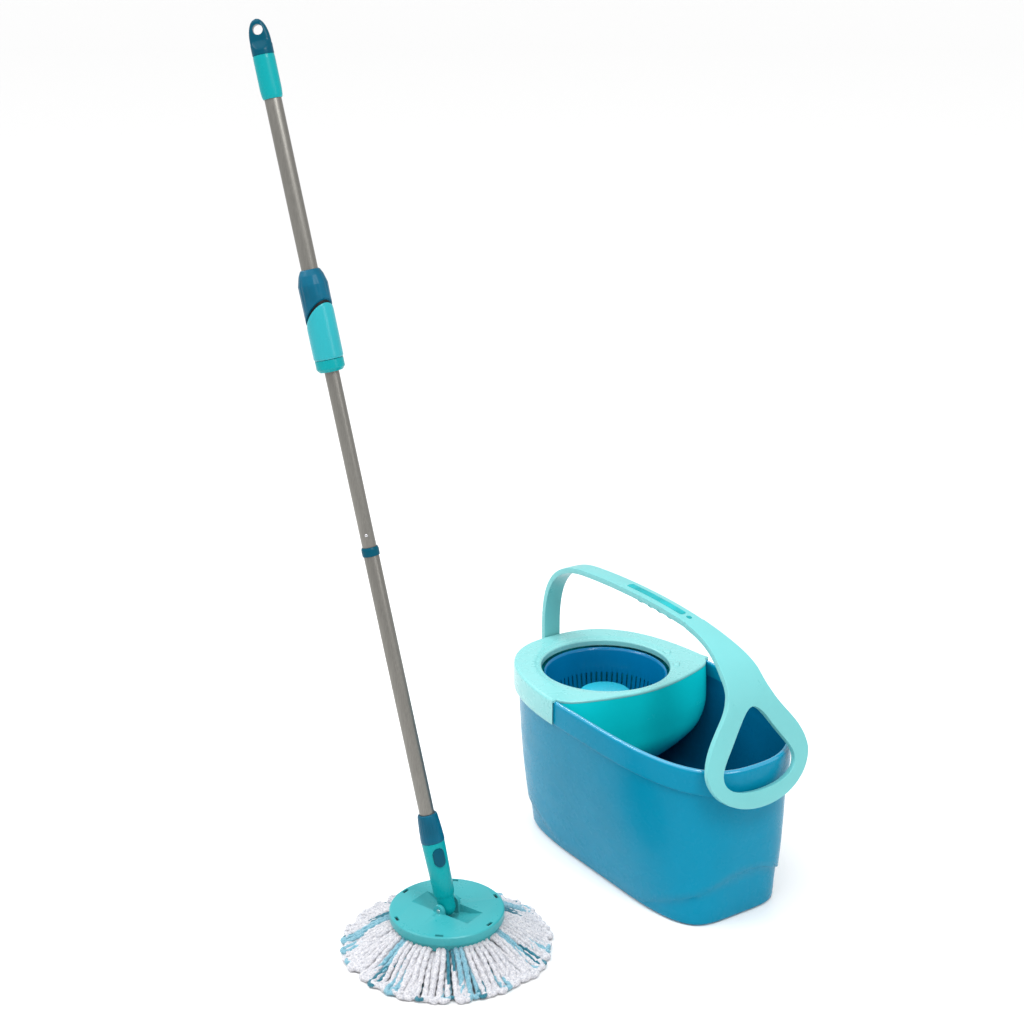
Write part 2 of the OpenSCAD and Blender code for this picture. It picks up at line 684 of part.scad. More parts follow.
// Slanted cut across the grip: the tongue of the lock sleeve is high on the front side.
cut_low = 800;
cut_high = 838;
module slanted_block(shift) {
  slope = atan((cut_high - cut_low) / (2 * grip_r));
  rotate(front_az) translate([0, 0, (cut_low + cut_high) / 2 + shift]) rotate([0, -slope, 0])
    translate([-100, -50, 0]) cube([200, 100, 120]);
}
lock_gap = 5;
module grip_body() {
  color(PETROL) at_handle() difference() {
    intersection() {
      rotate_extrude() polygon(concat([[upper_r, 780], [grip_r, 780], [grip_r, 862]],
        arc(grip_r - 12, 862, 12, 20, 0, 70, 8), [[upper_r, 882]]));
      slanted_block(lock_gap);
    }
    cylinder_between(upper_r + 0.02, 700, 900);
    cylinder_between(core_r + 0.02, 700, 852);
  }
}
module lock_seal() {
  color(BLACK) at_handle() tube(core_r, upper_r + 0.02, upper_from, 851.9);
}
module lock_sleeve() {
  color(TURQUOISE) at_handle() difference() {
    tube(grip_r + 0.3, core_r + running, bush_to + 0.4, 850);
    slanted_block(0);
  }
}
module end_sleeve() {
  color(TURQUOISE) at_handle() difference() {
    union() {
      translate([0, 0, sleeve_from]) cylinder(r1 = 12.8, r2 = 14, h = 6);
      cylinder_between(14, sleeve_from + 6, sleeve_to);
    }
    cylinder_between(upper_r + 0.02, sleeve_from - 1, sleeve_to + 1);
  }
}
eye_r = 6.5;
eye_t = handle_l - 14;
cap_r = 12.4;
module end_cap() {
  color(PETROL) at_handle() difference() {
    union() {
      cylinder_between(14, sleeve_to + eps, sleeve_to + 9);
      translate([0, 0, sleeve_to + 9]) cylinder(r1 = 14, r2 = cap_r, h = 6);
      rotate(front_az) {
        translate([-7.5, 0, handle_l - cap_r]) rotate([0, 90, 0]) cylinder(r = cap_r, h = 15);
        translate([-7.5, -cap_r, sleeve_to + 9]) cube([15, 2 * cap_r, handle_l - cap_r - sleeve_to - 9]);
      }
    }
    cylinder_between(upper_r + 0.02, sleeve_to - 1, sleeve_to + 8.5);
    radial_pin(eye_r, -20, 20, eye_t, front_az);
  }
}

bucket_shell();
spinner_insert();
basket_clips();
basket_axle();
axle_screws();
axle_clip();
bail_pins();
spin_basket();
basket_bearing();
basket_hub();
bail();
grip_inlay();
mop_fringe();
pad_ring();
ring_clips();
mop_disc();
hinge_pin();
socket();
release_button();
button_spring();
socket_collar();
lower_tube();
tube_ring();
inner_tube();
snap_pin();
drive_nut();
nut_ring();
guide_bush();
thrust_washer();
spindle();
spindle_plug();
spindle_stop();
upper_tube();
grip_body();
lock_seal();
lock_sleeve();
end_sleeve();
end_cap();
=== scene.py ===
"""Spin mop set: the looks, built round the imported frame. Lengths are in millimetres until a mesh is made."""
import json
import random
from math import acos, cos, exp, pi, radians, sin, sqrt, tan
import bpy
import bmesh
import numpy as np
from mathutils import Matrix, Vector


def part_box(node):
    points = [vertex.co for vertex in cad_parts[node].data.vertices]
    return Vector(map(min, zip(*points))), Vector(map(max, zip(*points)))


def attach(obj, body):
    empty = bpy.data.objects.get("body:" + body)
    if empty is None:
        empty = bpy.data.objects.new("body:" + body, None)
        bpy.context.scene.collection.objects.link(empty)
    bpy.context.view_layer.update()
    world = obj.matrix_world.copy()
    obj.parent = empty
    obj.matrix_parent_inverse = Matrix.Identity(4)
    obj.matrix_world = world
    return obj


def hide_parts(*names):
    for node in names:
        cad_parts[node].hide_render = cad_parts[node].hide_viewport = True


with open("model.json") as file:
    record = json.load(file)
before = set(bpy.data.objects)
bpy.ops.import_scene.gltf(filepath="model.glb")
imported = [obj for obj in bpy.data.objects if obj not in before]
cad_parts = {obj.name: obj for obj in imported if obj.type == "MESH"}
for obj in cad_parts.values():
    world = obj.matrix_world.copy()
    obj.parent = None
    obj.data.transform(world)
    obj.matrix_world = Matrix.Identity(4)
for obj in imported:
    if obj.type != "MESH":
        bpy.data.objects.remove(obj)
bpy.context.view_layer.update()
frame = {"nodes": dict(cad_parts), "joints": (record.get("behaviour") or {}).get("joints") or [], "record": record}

MM = 0.001
rng = random.Random(7)
JOINTS = {j["name"]: j for j in frame["joints"]}


# --- Small helpers ---

def cad_box(node):
    """Lowest and highest corner of a CAD node in millimetres."""
    low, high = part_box(node)
    return np.array(low) / MM, np.array(high) / MM


def mix(a, b, s):
    return a + (b - a) * s


def smooth_up(s):
    return s * s * (3 - 2 * s)


def smooth_step(x, low, high):
    return smooth_up(np.clip((x - low) / (high - low), 0.0, 1.0))


def unit(v):
    return v / np.linalg.norm(v)


def along_line(points):
    """Length along a line of points, 0 at its first point."""
    return np.concatenate([[0], np.cumsum(np.linalg.norm(np.diff(points, axis=0), axis=1))])


def tangents(points):
    """Unit direction of a line at each of its points."""
    steps = np.gradient(points, axis=0)
    return steps / np.linalg.norm(steps, axis=1)[:, None]


def hermite(x, xs, ys):
    """Smooth curve through the points (xs, ys), with the slopes of a weighted mean of neighbours."""
    xs, ys = np.array(xs, float), np.array(ys, float)
    slopes = np.gradient(ys, xs)
    k = np.clip(np.searchsorted(xs, x) - 1, 0, len(xs) - 2)
    h = xs[k + 1] - xs[k]
    s = np.clip((x - xs[k]) / h, 0, 1)
    return ((2 * s**3 - 3 * s**2 + 1) * ys[k] + (s**3 - 2 * s**2 + s) * h * slopes[k]
            + (-2 * s**3 + 3 * s**2) * ys[k + 1] + (s**3 - s**2) * h * slopes[k + 1])


def curve(start, *spans):
    """Bezier curves end to end, each given by its two handles, its end and its number of steps."""
    points = [np.array(start, float)]
    for b, c, d, steps in spans:
        a, b, c, d = points[-1], np.array(b, float), np.array(c, float), np.array(d, float)
        for s in (i / steps for i in range(1, steps + 1)):
            points.append((1 - s)**3 * a + 3 * (1 - s)**2 * s * b + 3 * (1 - s) * s * s * c + s**3 * d)
    return points


def round_angles(count):
    return np.linspace(0, 2 * np.pi, count, endpoint=False)


def quarter(steps, first=1):
    """Steps round a quarter circle of radius 1 as (height gained, distance moved in)."""
    turns = [radians(90 * k / steps) for k in range(first, steps + 1)]
    return [(sin(t), 1 - cos(t)) for t in turns]


def fillet(corners, steps=4, closed=True):
    """Rounds the corners of an outline of (x, y, corner radius); a radius of 0 keeps the corner."""
    points = [np.array(c[:2], float) for c in corners]
    n = len(points)
    out = []
    for i, p in enumerate(points):
        r = corners[i][2]
        if r <= 0 or (not closed and i in (0, n - 1)):
            out.append(p)
            continue
        to_a, to_b = points[i - 1] - p, points[(i + 1) % n] - p
        la, lb = np.linalg.norm(to_a), np.linalg.norm(to_b)
        ua, ub = to_a / la, to_b / lb
        angle = acos(max(-1.0, min(1.0, float(ua @ ub))))
        if angle > radians(176) or angle < radians(3):
            # nearly straight or folded back: a soft curve instead of an arc
            reach = min(r, 0.3 * la, 0.3 * lb)
            for k in range(steps + 1):
                s = k / steps
                out.append((1 - s)**2 * (p + ua * reach) + 2 * s * (1 - s) * p + s**2 * (p + ub * reach))
            continue
        reach = min(r / tan(angle / 2), 0.48 * la, 0.48 * lb)
        true_r = reach * tan(angle / 2)
        centre = p + unit(ua + ub) * true_r / sin(angle / 2)
        start, end = p + ua * reach - centre, p + ub * reach - centre
        sweep = pi - angle
        for k in range(steps + 1):
            s = k / steps
            out.append(centre + (sin((1 - s) * sweep) * start + sin(s * sweep) * end)
                       / sin(sweep))
    return out


def new_object(name, data):
    obj = bpy.data.objects.new(name, data)
    bpy.context.scene.collection.objects.link(obj)
    return obj


def shade(mesh, sharp):
    """Smooth shading, with the edges sharper than the angle kept crisp."""
    mesh.shade_smooth()
    mesh.set_sharp_from_angle(angle=radians(sharp))


def make_object(name, verts, faces, material, sharp=38, weld=False):
    """A smooth-shaded object from millimetre points."""
    mesh = bpy.data.meshes.new(name)
    mesh.from_pydata([tuple(float(c) * MM for c in v) for v in verts], [], faces)
    bm = bmesh.new()
    bm.from_mesh(mesh)
    if weld:
        bmesh.ops.remove_doubles(bm, verts=bm.verts, dist=1e-6)
    bmesh.ops.recalc_face_normals(bm, faces=bm.faces)
    bm.to_mesh(mesh)
    bm.free()
    shade(mesh, sharp)
    mesh.materials.append(material)
    return new_object(name, mesh)


def grid_faces(rows, cols, wrap_rows=False, wrap_cols=True, base=0):
    """Quads of a grid of points stored row after row."""
    faces = []
    for i in range(rows if wrap_rows else rows - 1):
        here, there = base + i * cols, base + (i + 1) % rows * cols
        for j in range(cols if wrap_cols else cols - 1):
            n = (j + 1) % cols
            faces.append((here + j, here + n, there + n, there + j))
    return faces


def end_faces(rows, cols, base=0):
    """The two faces that close the ends of a grid of closed rows."""
    last = base + (rows - 1) * cols
    return [tuple(range(base + cols - 1, base - 1, -1)), tuple(range(last, last + cols))]


def turned(name, material, profile, place, segments):
    """A turned piece. Its profile is a closed outline of (radius, height), or gives one at an angle."""
    angles = [2 * pi * i / segments for i in range(segments)]
    columns = [profile(a) if callable(profile) else profile for a in angles]
    count = len(columns[0])
    on_axis = [all(abs(c[k][0]) < 1e-6 for c in columns) for k in range(count)]
    verts, index = [], []
    for k in range(count):
        if on_axis[k]:
            index.append([len(verts)] * segments)
            verts.append((0.0, 0.0, columns[0][k][1]))
        else:
            index.append(list(range(len(verts), len(verts) + segments)))
            rim = [(c[k], a) for c, a in zip(columns, angles)]
            verts += [(r * cos(a), r * sin(a), z) for (r, z), a in rim]
    faces = []
    for k in range(count):
        m = (k + 1) % count
        if on_axis[k] and on_axis[m]:
            continue
        for j in range(segments):
            n = (j + 1) % segments
            ring = [index[k][j], index[k][n], index[m][n], index[m][j]]
            faces.append(tuple(dict.fromkeys(ring)))
    return make_object(name, [place @ Vector(v) for v in verts], faces, material)


def apply_modifiers(obj):
    """Replaces an object's mesh by what its modifiers make of it."""
    graph = bpy.context.evaluated_depsgraph_get()
    mesh = bpy.data.meshes.new_from_object(obj.evaluated_get(graph))
    old = obj.data
    obj.modifiers.clear()
    obj.data = mesh
    bpy.data.meshes.remove(old)


def round_edges(obj, width, segments, bend, sharp):
    """Rounds the edges that bend more than an angle, then shades the piece."""
    bevel = obj.modifiers.new("round", "BEVEL")
    bevel.width = width * MM
    bevel.segments = segments
    bevel.limit_method = "ANGLE"
    bevel.angle_limit = radians(bend)
    apply_modifiers(obj)
    shade(obj.data, sharp)


def dress(obj, body, slot, *nodes):
    """The piece rides on a body and stands for CAD nodes; the slot argument is not used."""
    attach(obj, body)
    if nodes:
        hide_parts(*nodes)
    return obj


def rounded_copy(name, material, width, body, slot, node):
    """A piece with the shape of a CAD node and its edges rounded."""
    mesh = frame["nodes"][node].data.copy()
    mesh.materials.clear()
    bm = bmesh.new()
    bm.from_mesh(mesh)
    bmesh.ops.remove_doubles(bm, verts=bm.verts, dist=2e-6)
    bmesh.ops.dissolve_limit(bm, angle_limit=radians(0.6), verts=bm.verts, edges=bm.edges)
    bm.to_mesh(mesh)
    bm.free()
    obj = new_object(name, mesh)
    round_edges(obj, width, 3, 30, 40)
    obj.data.materials.append(material)
    return dress(obj, body, slot, node)


# --- Materials ---

def linear(rgb):
    """Linear colour of a display colour given from 0 to 255."""
    steps = [v / 255 for v in rgb]
    return tuple(v / 12.92 if v <= 0.04045 else ((v + 0.055) / 1.055)**2.4 for v in steps) + (1.0,)


def shader(name):
    mat = bpy.data.materials.new(name)
    mat.use_nodes = True
    tree = mat.node_tree
    return mat, tree, tree.nodes["Principled BSDF"]


def put(node, **values):
    """Sets inputs of a node, with spaces in their names written as _; another node's output is linked."""
    for name, value in values.items():
        socket = node.inputs[name.replace("_", " ")]
        if isinstance(value, bpy.types.NodeSocket):
            node.id_data.links.new(value, socket)
        else:
            socket.default_value = value
    return node


def add_node(tree, kind, **values):
    return put(tree.nodes.new("ShaderNode" + kind), **values)


def object_coords(tree, stretch=(1, 1, 1), turn=(0, 0, 0)):
    where = add_node(tree, "TexCoord").outputs["Object"]
    return add_node(tree, "Mapping", Vector=where, Scale=stretch, Rotation=turn).outputs["Vector"]


def noise(tree, where, scale, detail=3.0, rough=0.5):
    node = add_node(tree, "TexNoise", Vector=where, Scale=scale, Detail=detail, Roughness=rough)
    return node.outputs["Fac"]


def to_range(tree, value, low, high, from_low=0.3, from_high=0.7):
    limits = {"From_Min": from_low, "From_Max": from_high, "To_Min": low, "To_Max": high}
    return add_node(tree, "MapRange", Value=value, **limits).outputs["Result"]


def blend_colours(tree, factor, a, b):
    node = tree.nodes.new("ShaderNodeMix")
    node.data_type = "RGBA"
    return put(node, Factor=factor, A=a, B=b).outputs["Result"]


def drifting(tree, value, rgb, darker, lighter):
    """A colour that drifts between a darker and a lighter shade."""
    deep = tuple(c * darker for c in linear(rgb)[:3]) + (1.0,)
    pale = tuple(min(1.0, c * lighter) for c in linear(rgb)[:3]) + (1.0,)
    return blend_colours(tree, to_range(tree, value, 0, 1), deep, pale)


def bump(tree, height, strength, distance):
    return add_node(tree, "Bump", Height=height, Strength=strength, Distance=distance).outputs["Normal"]


def plastic(name, rgb, rough=0.28, vary=0.10, grain=0.06, specular=0.5, coat=0.0, glow=0.0):
    """Moulded plastic: slight colour drift, flow marks in the gloss and a fine moulded grain."""
    mat, tree, bsdf = shader(name)
    where = object_coords(tree)
    marks = noise(tree, where, 38.0, 4.0, 0.6)
    put(bsdf, Base_Color=drifting(tree, noise(tree, where, 7.0, 2.0), rgb, 1 - vary, 1 + vary),
        Roughness=to_range(tree, marks, rough * 0.8, rough * 1.25),
        Normal=bump(tree, noise(tree, where, 900, 2.0), grain, 0.0004),
        Specular_IOR_Level=specular, Coat_Weight=coat, Coat_Roughness=0.12)
    if glow:
        put(bsdf, Subsurface_Weight=glow, Subsurface_Radius=(0.004, 0.008, 0.008), Subsurface_Scale=0.5)
    return mat


def soft_touch(name, rgb, rough, specular):
    """Grippy plastic with a fine leathery texture."""
    mat, tree, bsdf = shader(name)
    where = object_coords(tree)
    cells = add_node(tree, "TexVoronoi", Vector=where, Scale=850)
    drift = noise(tree, where, 30.0)
    put(bsdf, Base_Color=drifting(tree, drift, rgb, 0.8, 1.25),
        Roughness=to_range(tree, drift, rough * 0.85, rough * 1.15),
        Normal=bump(tree, cells.outputs["Distance"], 0.12, 0.0004), Specular_IOR_Level=specular)
    return mat


def drawn_metal(name, rgb, rough, metallic):
    """Tube metal with fine lines drawn along the handle."""
    mat, tree, bsdf = shader(name)
    along = object_coords(tree, (900, 900, 6), HANDLE.to_3x3().inverted().to_euler())
    lines = noise(tree, along, 1.0, 3.0, 0.6)
    patches = noise(tree, object_coords(tree), 22.0)
    put(bsdf, Base_Color=drifting(tree, lines, rgb, 0.86, 1.10),
        Roughness=to_range(tree, patches, rough * 0.85, rough * 1.2),
        Normal=bump(tree, lines, 0.05, 0.0003), Metallic=metallic)
    return mat


def yarn_material(name, rgb, tint):
    """Fuzzy microfibre yarn."""
    mat, tree, bsdf = shader(name)
    where = object_coords(tree)
    tufts = noise(tree, where, 420.0, 5.0, 0.65)
    hairs = noise(tree, where, 1900.0, 4.0, 0.7)
    both = tree.nodes.new("ShaderNodeMath")
    both.operation = "ADD"
    tree.links.new(tufts, both.inputs[0])
    tree.links.new(hairs, both.inputs[1])
    shading = to_range(tree, tufts, 0, 1, 0.35, 0.62)
    put(bsdf, Base_Color=blend_colours(tree, shading, linear(tint), linear(rgb)),
        Roughness=to_range(tree, hairs, 0.85, 1.0), Normal=bump(tree, both.outputs["Value"], 0.9, 0.0014),
        Sheen_Weight=0.35, Sheen_Roughness=0.5, Specular_IOR_Level=0.15)
    return mat


# --- The handle's own frame, from the joints ---

HINGE = Vector(JOINTS["head_tilt"]["pos_m"]) / MM
ALONG = Vector(JOINTS["pump_slide"]["axis"])
ACROSS = Vector(JOINTS["head_tilt"]["axis"])
LEANING = ACROSS.cross(ALONG)
HANDLE = Matrix((LEANING, ACROSS, ALONG)).transposed().to_4x4()
HANDLE.translation = HINGE
FLAT_LEAN = Vector((LEANING.x, LEANING.y, 0)).normalized()
HEAD = Matrix((FLAT_LEAN, ACROSS, Vector((0, 0, 1)))).transposed().to_4x4()
HEAD.translation = Vector((HINGE.x, HINGE.y, 0))

BUCKET_BLUE = plastic("bucket_blue_plastic", (0, 126, 158), rough=0.26, vary=0.05, grain=0.02, specular=0.09)
# The lip's faces take a lighter, glossier copy of the bucket blue: the lighter colour is a painted highlight, and
# the gloss catches the strip light's highlight.
BUCKET_RIM_HIGHLIGHT = plastic("bucket_rim_painted_highlight", (0, 140, 178), rough=0.10, vary=0.05, grain=0.0,
                     specular=0.8, coat=0.6)
# The inside of the band, the wall and the floor take a darker copy of the bucket blue: painted shade.
BUCKET_INSIDE_SHADE = plastic("bucket_inside_painted_shade", (0, 92, 132), rough=0.3, grain=0.02, specular=0.10)
# The deck and the tank are one moulding in two aquas: the deck's paler aqua is a lit copy for its top faces,
# painted light, and the tank's deeper aqua is a shaded copy for its front, painted shade.
AQUA_LIT = plastic("aqua_lit_plastic", (122, 190, 191), rough=0.27, vary=0.03, grain=0.012, glow=0.08)
AQUA_BAIL = plastic("aqua_bail_plastic", (104, 180, 182), rough=0.34, vary=0.04, glow=0.08)
AQUA_SHADED = plastic("aqua_tank_shaded_plastic", (8, 206, 214), rough=0.22, vary=0.04, grain=0.02, specular=0.22)
PETROL = plastic("petrol_plastic", (0, 72, 92), rough=0.24, grain=0.03, specular=0.10)
PETROL_GRIP = soft_touch("petrol_grip_plastic", (0, 84, 110), rough=0.34, specular=0.16)
BASKET_BLUE = plastic("basket_blue_plastic", (0, 108, 156), rough=0.16, vary=0.08, grain=0.02, specular=0.3)
CYAN = plastic("cyan_plastic", (40, 168, 192), rough=0.22, vary=0.05, grain=0.02, specular=0.3)
TURQUOISE = plastic("turquoise_plastic", (52, 150, 156), rough=0.3, vary=0.06, grain=0.12, specular=0.3)
TURQUOISE_SLEEVE = plastic("turquoise_sleeve_plastic", (34, 154, 164), rough=0.22, vary=0.06, grain=0.03,
                           specular=0.3)
TURQUOISE_DEEP = plastic("turquoise_socket_plastic", (0, 142, 147), rough=0.27, vary=0.07, specular=0.18)
INLAY = soft_touch("turquoise_inlay_rubber", (20, 150, 156), rough=0.5, specular=0.25)
TUBE = drawn_metal("tube_satin_metal", (124, 122, 117), rough=0.38, metallic=0.75)
STEEL = drawn_metal("bright_steel", (205, 205, 208), rough=0.22, metallic=1.0)
BLACK = plastic("black_plastic", (16, 20, 26), rough=0.45, vary=0.3, specular=0.2)
YARN_WHITE = yarn_material("yarn_white", (228, 227, 230), (172, 175, 186))
YARN_LIGHT = yarn_material("yarn_light_blue", (142, 190, 206), (86, 152, 174))
YARN_TEAL = yarn_material("yarn_teal", (44, 130, 150), (8, 88, 108))


# --- Bucket ---

shell_low, shell_high = cad_box("bucket_shell")
RIM_A = (shell_high[0] - shell_low[0]) / 2
RIM_B = (shell_high[1] - shell_low[1]) / 2
RIM_X = (shell_high[0] + shell_low[0]) / 2
RIM_H = shell_high[2]
RIM_N = 2.6
BASE_A, BASE_B, BASE_X, BASE_N = 212.0, 100.0, 10.0, 5.0
BAND_STEP, BAND_H, LIP, WALL = 4.0, 37.0, 6.0, 3.0
BAND_Z = RIM_H - BAND_H
DIP = 26.0
FOOT_H, FOOT_IN, FOOT_LOW, FOOT_R = 45.0, 3.0, 9.0, 6.0
FOOT_STEP = 1.2                       # half the height of the slope over the foot
FOOT_ANGLES = [0, 3, 5, 9, 13, 16.2, 20.5, 25.5, 33, 41, 180]
FOOT_LINE = [80, 79.4, 78, 74, 66.5, 59.5, 50.5, 42.5, 27, 9, 9]


def super_radius(angle, a, b, n):
    """Distance from the centre to a superellipse in a direction."""
    return (np.abs(np.cos(angle) / a)**n + np.abs(np.sin(angle) / b)**n)**(-1.0 / n)


def rim_dip(x):
    return DIP * np.clip((x - RIM_X) / RIM_A, 0, 1)**2


def wall_shape(z):
    """Centre, half length, half width, fullness and share of the dip of the bucket wall at height z."""
    s = np.clip(z / BAND_Z, 0, 1)
    flare = s + 0.10 * np.sin(np.pi * s)
    flare = np.where(z >= BAND_Z, 1.0, flare)
    share = np.clip((z - FOOT_H) / (BAND_Z - FOOT_H), 0, 1)
    return (mix(BASE_X, RIM_X, flare), mix(BASE_A, RIM_A - BAND_STEP, flare),
            mix(BASE_B, RIM_B - BAND_STEP, flare), mix(BASE_N, RIM_N, flare**0.6), share)


def wall_point(angle, z, inset):
    cx, a, b, n, share = wall_shape(z)
    r = super_radius(angle, a - inset, b - inset, n)
    x, y = cx + r * np.cos(angle), r * np.sin(angle)
    return np.stack([x, y, z - share * rim_dip(x)], -1)


def foot_edge(angle):
    """Height of the step over the set-back foot: a hump at both ends, low along the sides."""
    from_end = np.degrees(np.abs(np.arctan2(np.sin(angle), np.cos(angle))))
    front = np.interp(from_end, FOOT_ANGLES, FOOT_LINE)
    low = smooth_step(np.abs(np.sin(angle)), 0.45, 0.80)
    return np.where(np.cos(angle) < 0, mix(FOOT_H, FOOT_LOW, low), front)


def build_bucket():
    """The bucket as rings of points: up the outside, over the lip, down the inside to its floor."""
    columns = 288
    angle = round_angles(columns)
    edge = foot_edge(angle)
    depth = FOOT_IN * mix(0.25, 1.0, np.clip((edge - FOOT_LOW) / (FOOT_H - FOOT_LOW), 0, 1))
    rows = []

    def row(z, inset):
        rows.append(wall_point(angle, np.zeros(columns) + z, np.zeros(columns) + inset))

    # the rounded bottom edge, the foot and the slope over it, then the plain wall
    for up, over in reversed(quarter(5, 0)):
        row(FOOT_R * (1 - up), depth + FOOT_R * over)
    for s in (0.35, 0.7):
        row(mix(FOOT_R, edge - FOOT_STEP, s), depth)
    for s in (0.0, 0.25, 0.5, 0.75, 1.0):
        row(edge - FOOT_STEP + 2 * FOOT_STEP * s, depth * (1 - smooth_step(s, 0, 1)))
    for s in np.linspace(0.08, 1, 22):
        row(mix(edge + FOOT_STEP, BAND_Z - 3.2, s), 0)
    # the band: a small cove below it, then its flat face and the rolled lip
    for z, inset in ((-2.0, 0.05), (-1.0, -0.4), (-0.4, -1.2), (0, -2.2), (0.5, -3.2), (1.4, -3.8)):
        row(BAND_Z + z, inset)
    face_low, outer_r, inner_r = BAND_Z + 2.6, 7, 4
    row(face_low, -BAND_STEP)
    for s in np.linspace(0.1, 1, 7):
        row(mix(face_low, RIM_H - 9, s), -BAND_STEP)
    for up, over in quarter(7):
        row(RIM_H - outer_r + outer_r * up, -BAND_STEP + 3.2 * over)
    # rows of the lip that take the lighter copy of the blue: painted highlight
    lip_highlight_rows = (len(rows) - 5, len(rows) + 6)
    for up, over in quarter(7):
        row(RIM_H - inner_r * over, 0.6 + 1.8 * up)
    # the inside of the band and of the wall, and the rounded floor
    for s in np.linspace(0.15, 1, 5):
        row(mix(RIM_H - inner_r, BAND_Z + 2, s), 2.4)
    row(BAND_Z - 3, WALL)
    for z in np.linspace(BAND_Z - 12, FOOT_H + 8, 24):
        row(z, WALL + 3.2 * (1 - smooth_step(z, 84, 98)))
    for z, inset in ((36, 6.4), (24, 6.6), (14, 7.2), (9.5, 8.4), (6, 11.0), (4, 15.5), (3.2, 21)):
        row(z, inset)
    faces = grid_faces(len(rows), columns) + end_faces(len(rows), columns)
    obj = make_object("bucket_moulding", np.concatenate(rows), faces, BUCKET_BLUE, sharp=50)
    obj.data.materials.append(BUCKET_RIM_HIGHLIGHT)
    obj.data.materials.append(BUCKET_INSIDE_SHADE)
    for k, face in enumerate(obj.data.polygons):
        if lip_highlight_rows[0] <= k // columns < lip_highlight_rows[1]:
            face.material_index = 1
        # faces inside the bucket take the darker copy of the blue: painted shade
        elif lip_highlight_rows[1] + 3 <= k // columns:
            face.material_index = 2
    dress(obj, "bucket", "bucket_blue", "bucket_shell")


# --- Spinner insert ---

BASKET_X = JOINTS["basket_spin"]["pos_m"][0] / MM
BASKET_MID = np.array([BASKET_X, 0])
DECK_TOP, DECK_T = cad_box("spinner_insert")[1][2], 2.7
SKIRT_BOTTOM, SKIRT_X, SKIRT_W = DECK_TOP - 38.7, -38.0, 3.0
OPENING_R = 97.5
# heights of the tank with its centre, half length, half width, fullness and front bulge
TANK = [(112, -101, 43, 48, 2, 0), (118, -102, 53, 60, 2.1, 2), (133, -105, 71, 82, 2.6, 8),
        (152, -106, 86, 104, 3.8, 13), (175, -105, 99, 120, 5.5, 12), (205, -111, 107, 132, 7.5, 12),
        (240, -115, 105, 138, 8, 19), (270.3, -120, 103, 141, 8, 27)]
TANK_FIELDS = list(zip(*TANK))
TANK_LOW, TANK_MID, TANK_TOP = TANK[0][0], TANK[0][1], TANK[-1][0]
TANK_OUT, TANK_IN = 0.25, 2.6         # insets of the tank wall's two faces


def tank_outline(angle, z, inset=0.0):
    """Points of the tank wall at height z, before the bucket wall limits them."""
    cx, a, b, n, bulge = (float(hermite(np.array(z), TANK_FIELDS[0], f)) for f in TANK_FIELDS[1:])
    a, b = a - inset, b - inset
    r = super_radius(angle, a, b, n)
    x, y = r * np.cos(angle), r * np.sin(angle)
    front = np.maximum(0, x / a)
    swell = bulge * front * np.cos(np.pi / 2 * np.minimum(1, np.abs(y) / b))**1.5
    return cx, x + swell, y


def cavity_limit(cx, angle, z, clear):
    """Distance from (cx, 0) to the inside of the bucket wall, less a clearance."""
    bx, a, b, n, _ = wall_shape(min(z, BAND_Z))
    if z > BAND_Z - 2:
        bx, a, b, n, clear = RIM_X, RIM_A, RIM_B, RIM_N, clear + LIP - WALL
    a, b = a - clear, b - clear
    low, high = np.zeros_like(angle), np.full_like(angle, 400.0)
    for _ in range(36):
        mid = (low + high) / 2
        inside = (np.abs((cx + mid * np.cos(angle) - bx) / a)**n + np.abs(mid * np.sin(angle) / b)**n) < 1
        low, high = np.where(inside, mid, low), np.where(inside, high, mid)
    return low


def tank_ring(angle, z, inset):
    """Points of the tank wall at height z, kept inside the bucket with a soft change between the two."""
    cx, x, y = tank_outline(angle, z, inset)
    true_angle, r = np.arctan2(y, x), np.hypot(x, y)
    limit = cavity_limit(cx, true_angle, z, WALL + 1 + inset)
    soft = 3.0
    blend = np.clip(0.5 + 0.5 * (limit - r) / soft, 0, 1)
    r = limit * (1 - blend) + r * blend - soft * blend * (1 - blend)
    return np.stack([cx + r * np.cos(true_angle), r * np.sin(true_angle), np.full_like(r, z)], -1)


def build_tank():
    columns = 240
    angle = round_angles(columns)
    rows = []
    for z in (270, 266, *range(260, 147, -8), 141, 135, 129, 124, 120, 117, 114.5, 113):
        rows.append(tank_ring(angle, z, TANK_OUT))
    flat = tank_ring(angle, float(TANK_LOW), TANK_OUT)
    centre = np.array([float(TANK_MID), 0, float(TANK_LOW)])
    for s in (1.0, 0.7, 0.35, 0.1):
        rows.append(centre + (flat - centre) * s)
    under = len(rows) - 1
    for s in (0.1, 0.6, 0.95):
        rows.append(centre + (flat - centre) * s + np.array([0, 0, 2.5]))
    for z in (117, 125, 140, 160, 185, 215, 245, 270):
        rows.append(tank_ring(angle, z, TANK_IN))
    # the floor's two faces are closed instead of joined in their middle
    faces = grid_faces(len(rows), columns, wrap_rows=True)
    middle = under * columns
    del faces[middle:middle + columns]
    faces.append(tuple(range(middle, middle + columns)))
    faces.append(tuple(range(middle + 2 * columns - 1, middle + columns - 1, -1)))
    # the tank takes the shaded copy of the insert's aqua: painted shade
    obj = make_object("spinner_tank", np.concatenate(rows), faces, AQUA_SHADED, sharp=60)
    dress(obj, "bucket", "aqua", "spinner_insert")


def outward(points):
    """Normals to the right of a line of plan points."""
    along = tangents(points)
    return np.stack([along[:, 1], -along[:, 0]], -1)


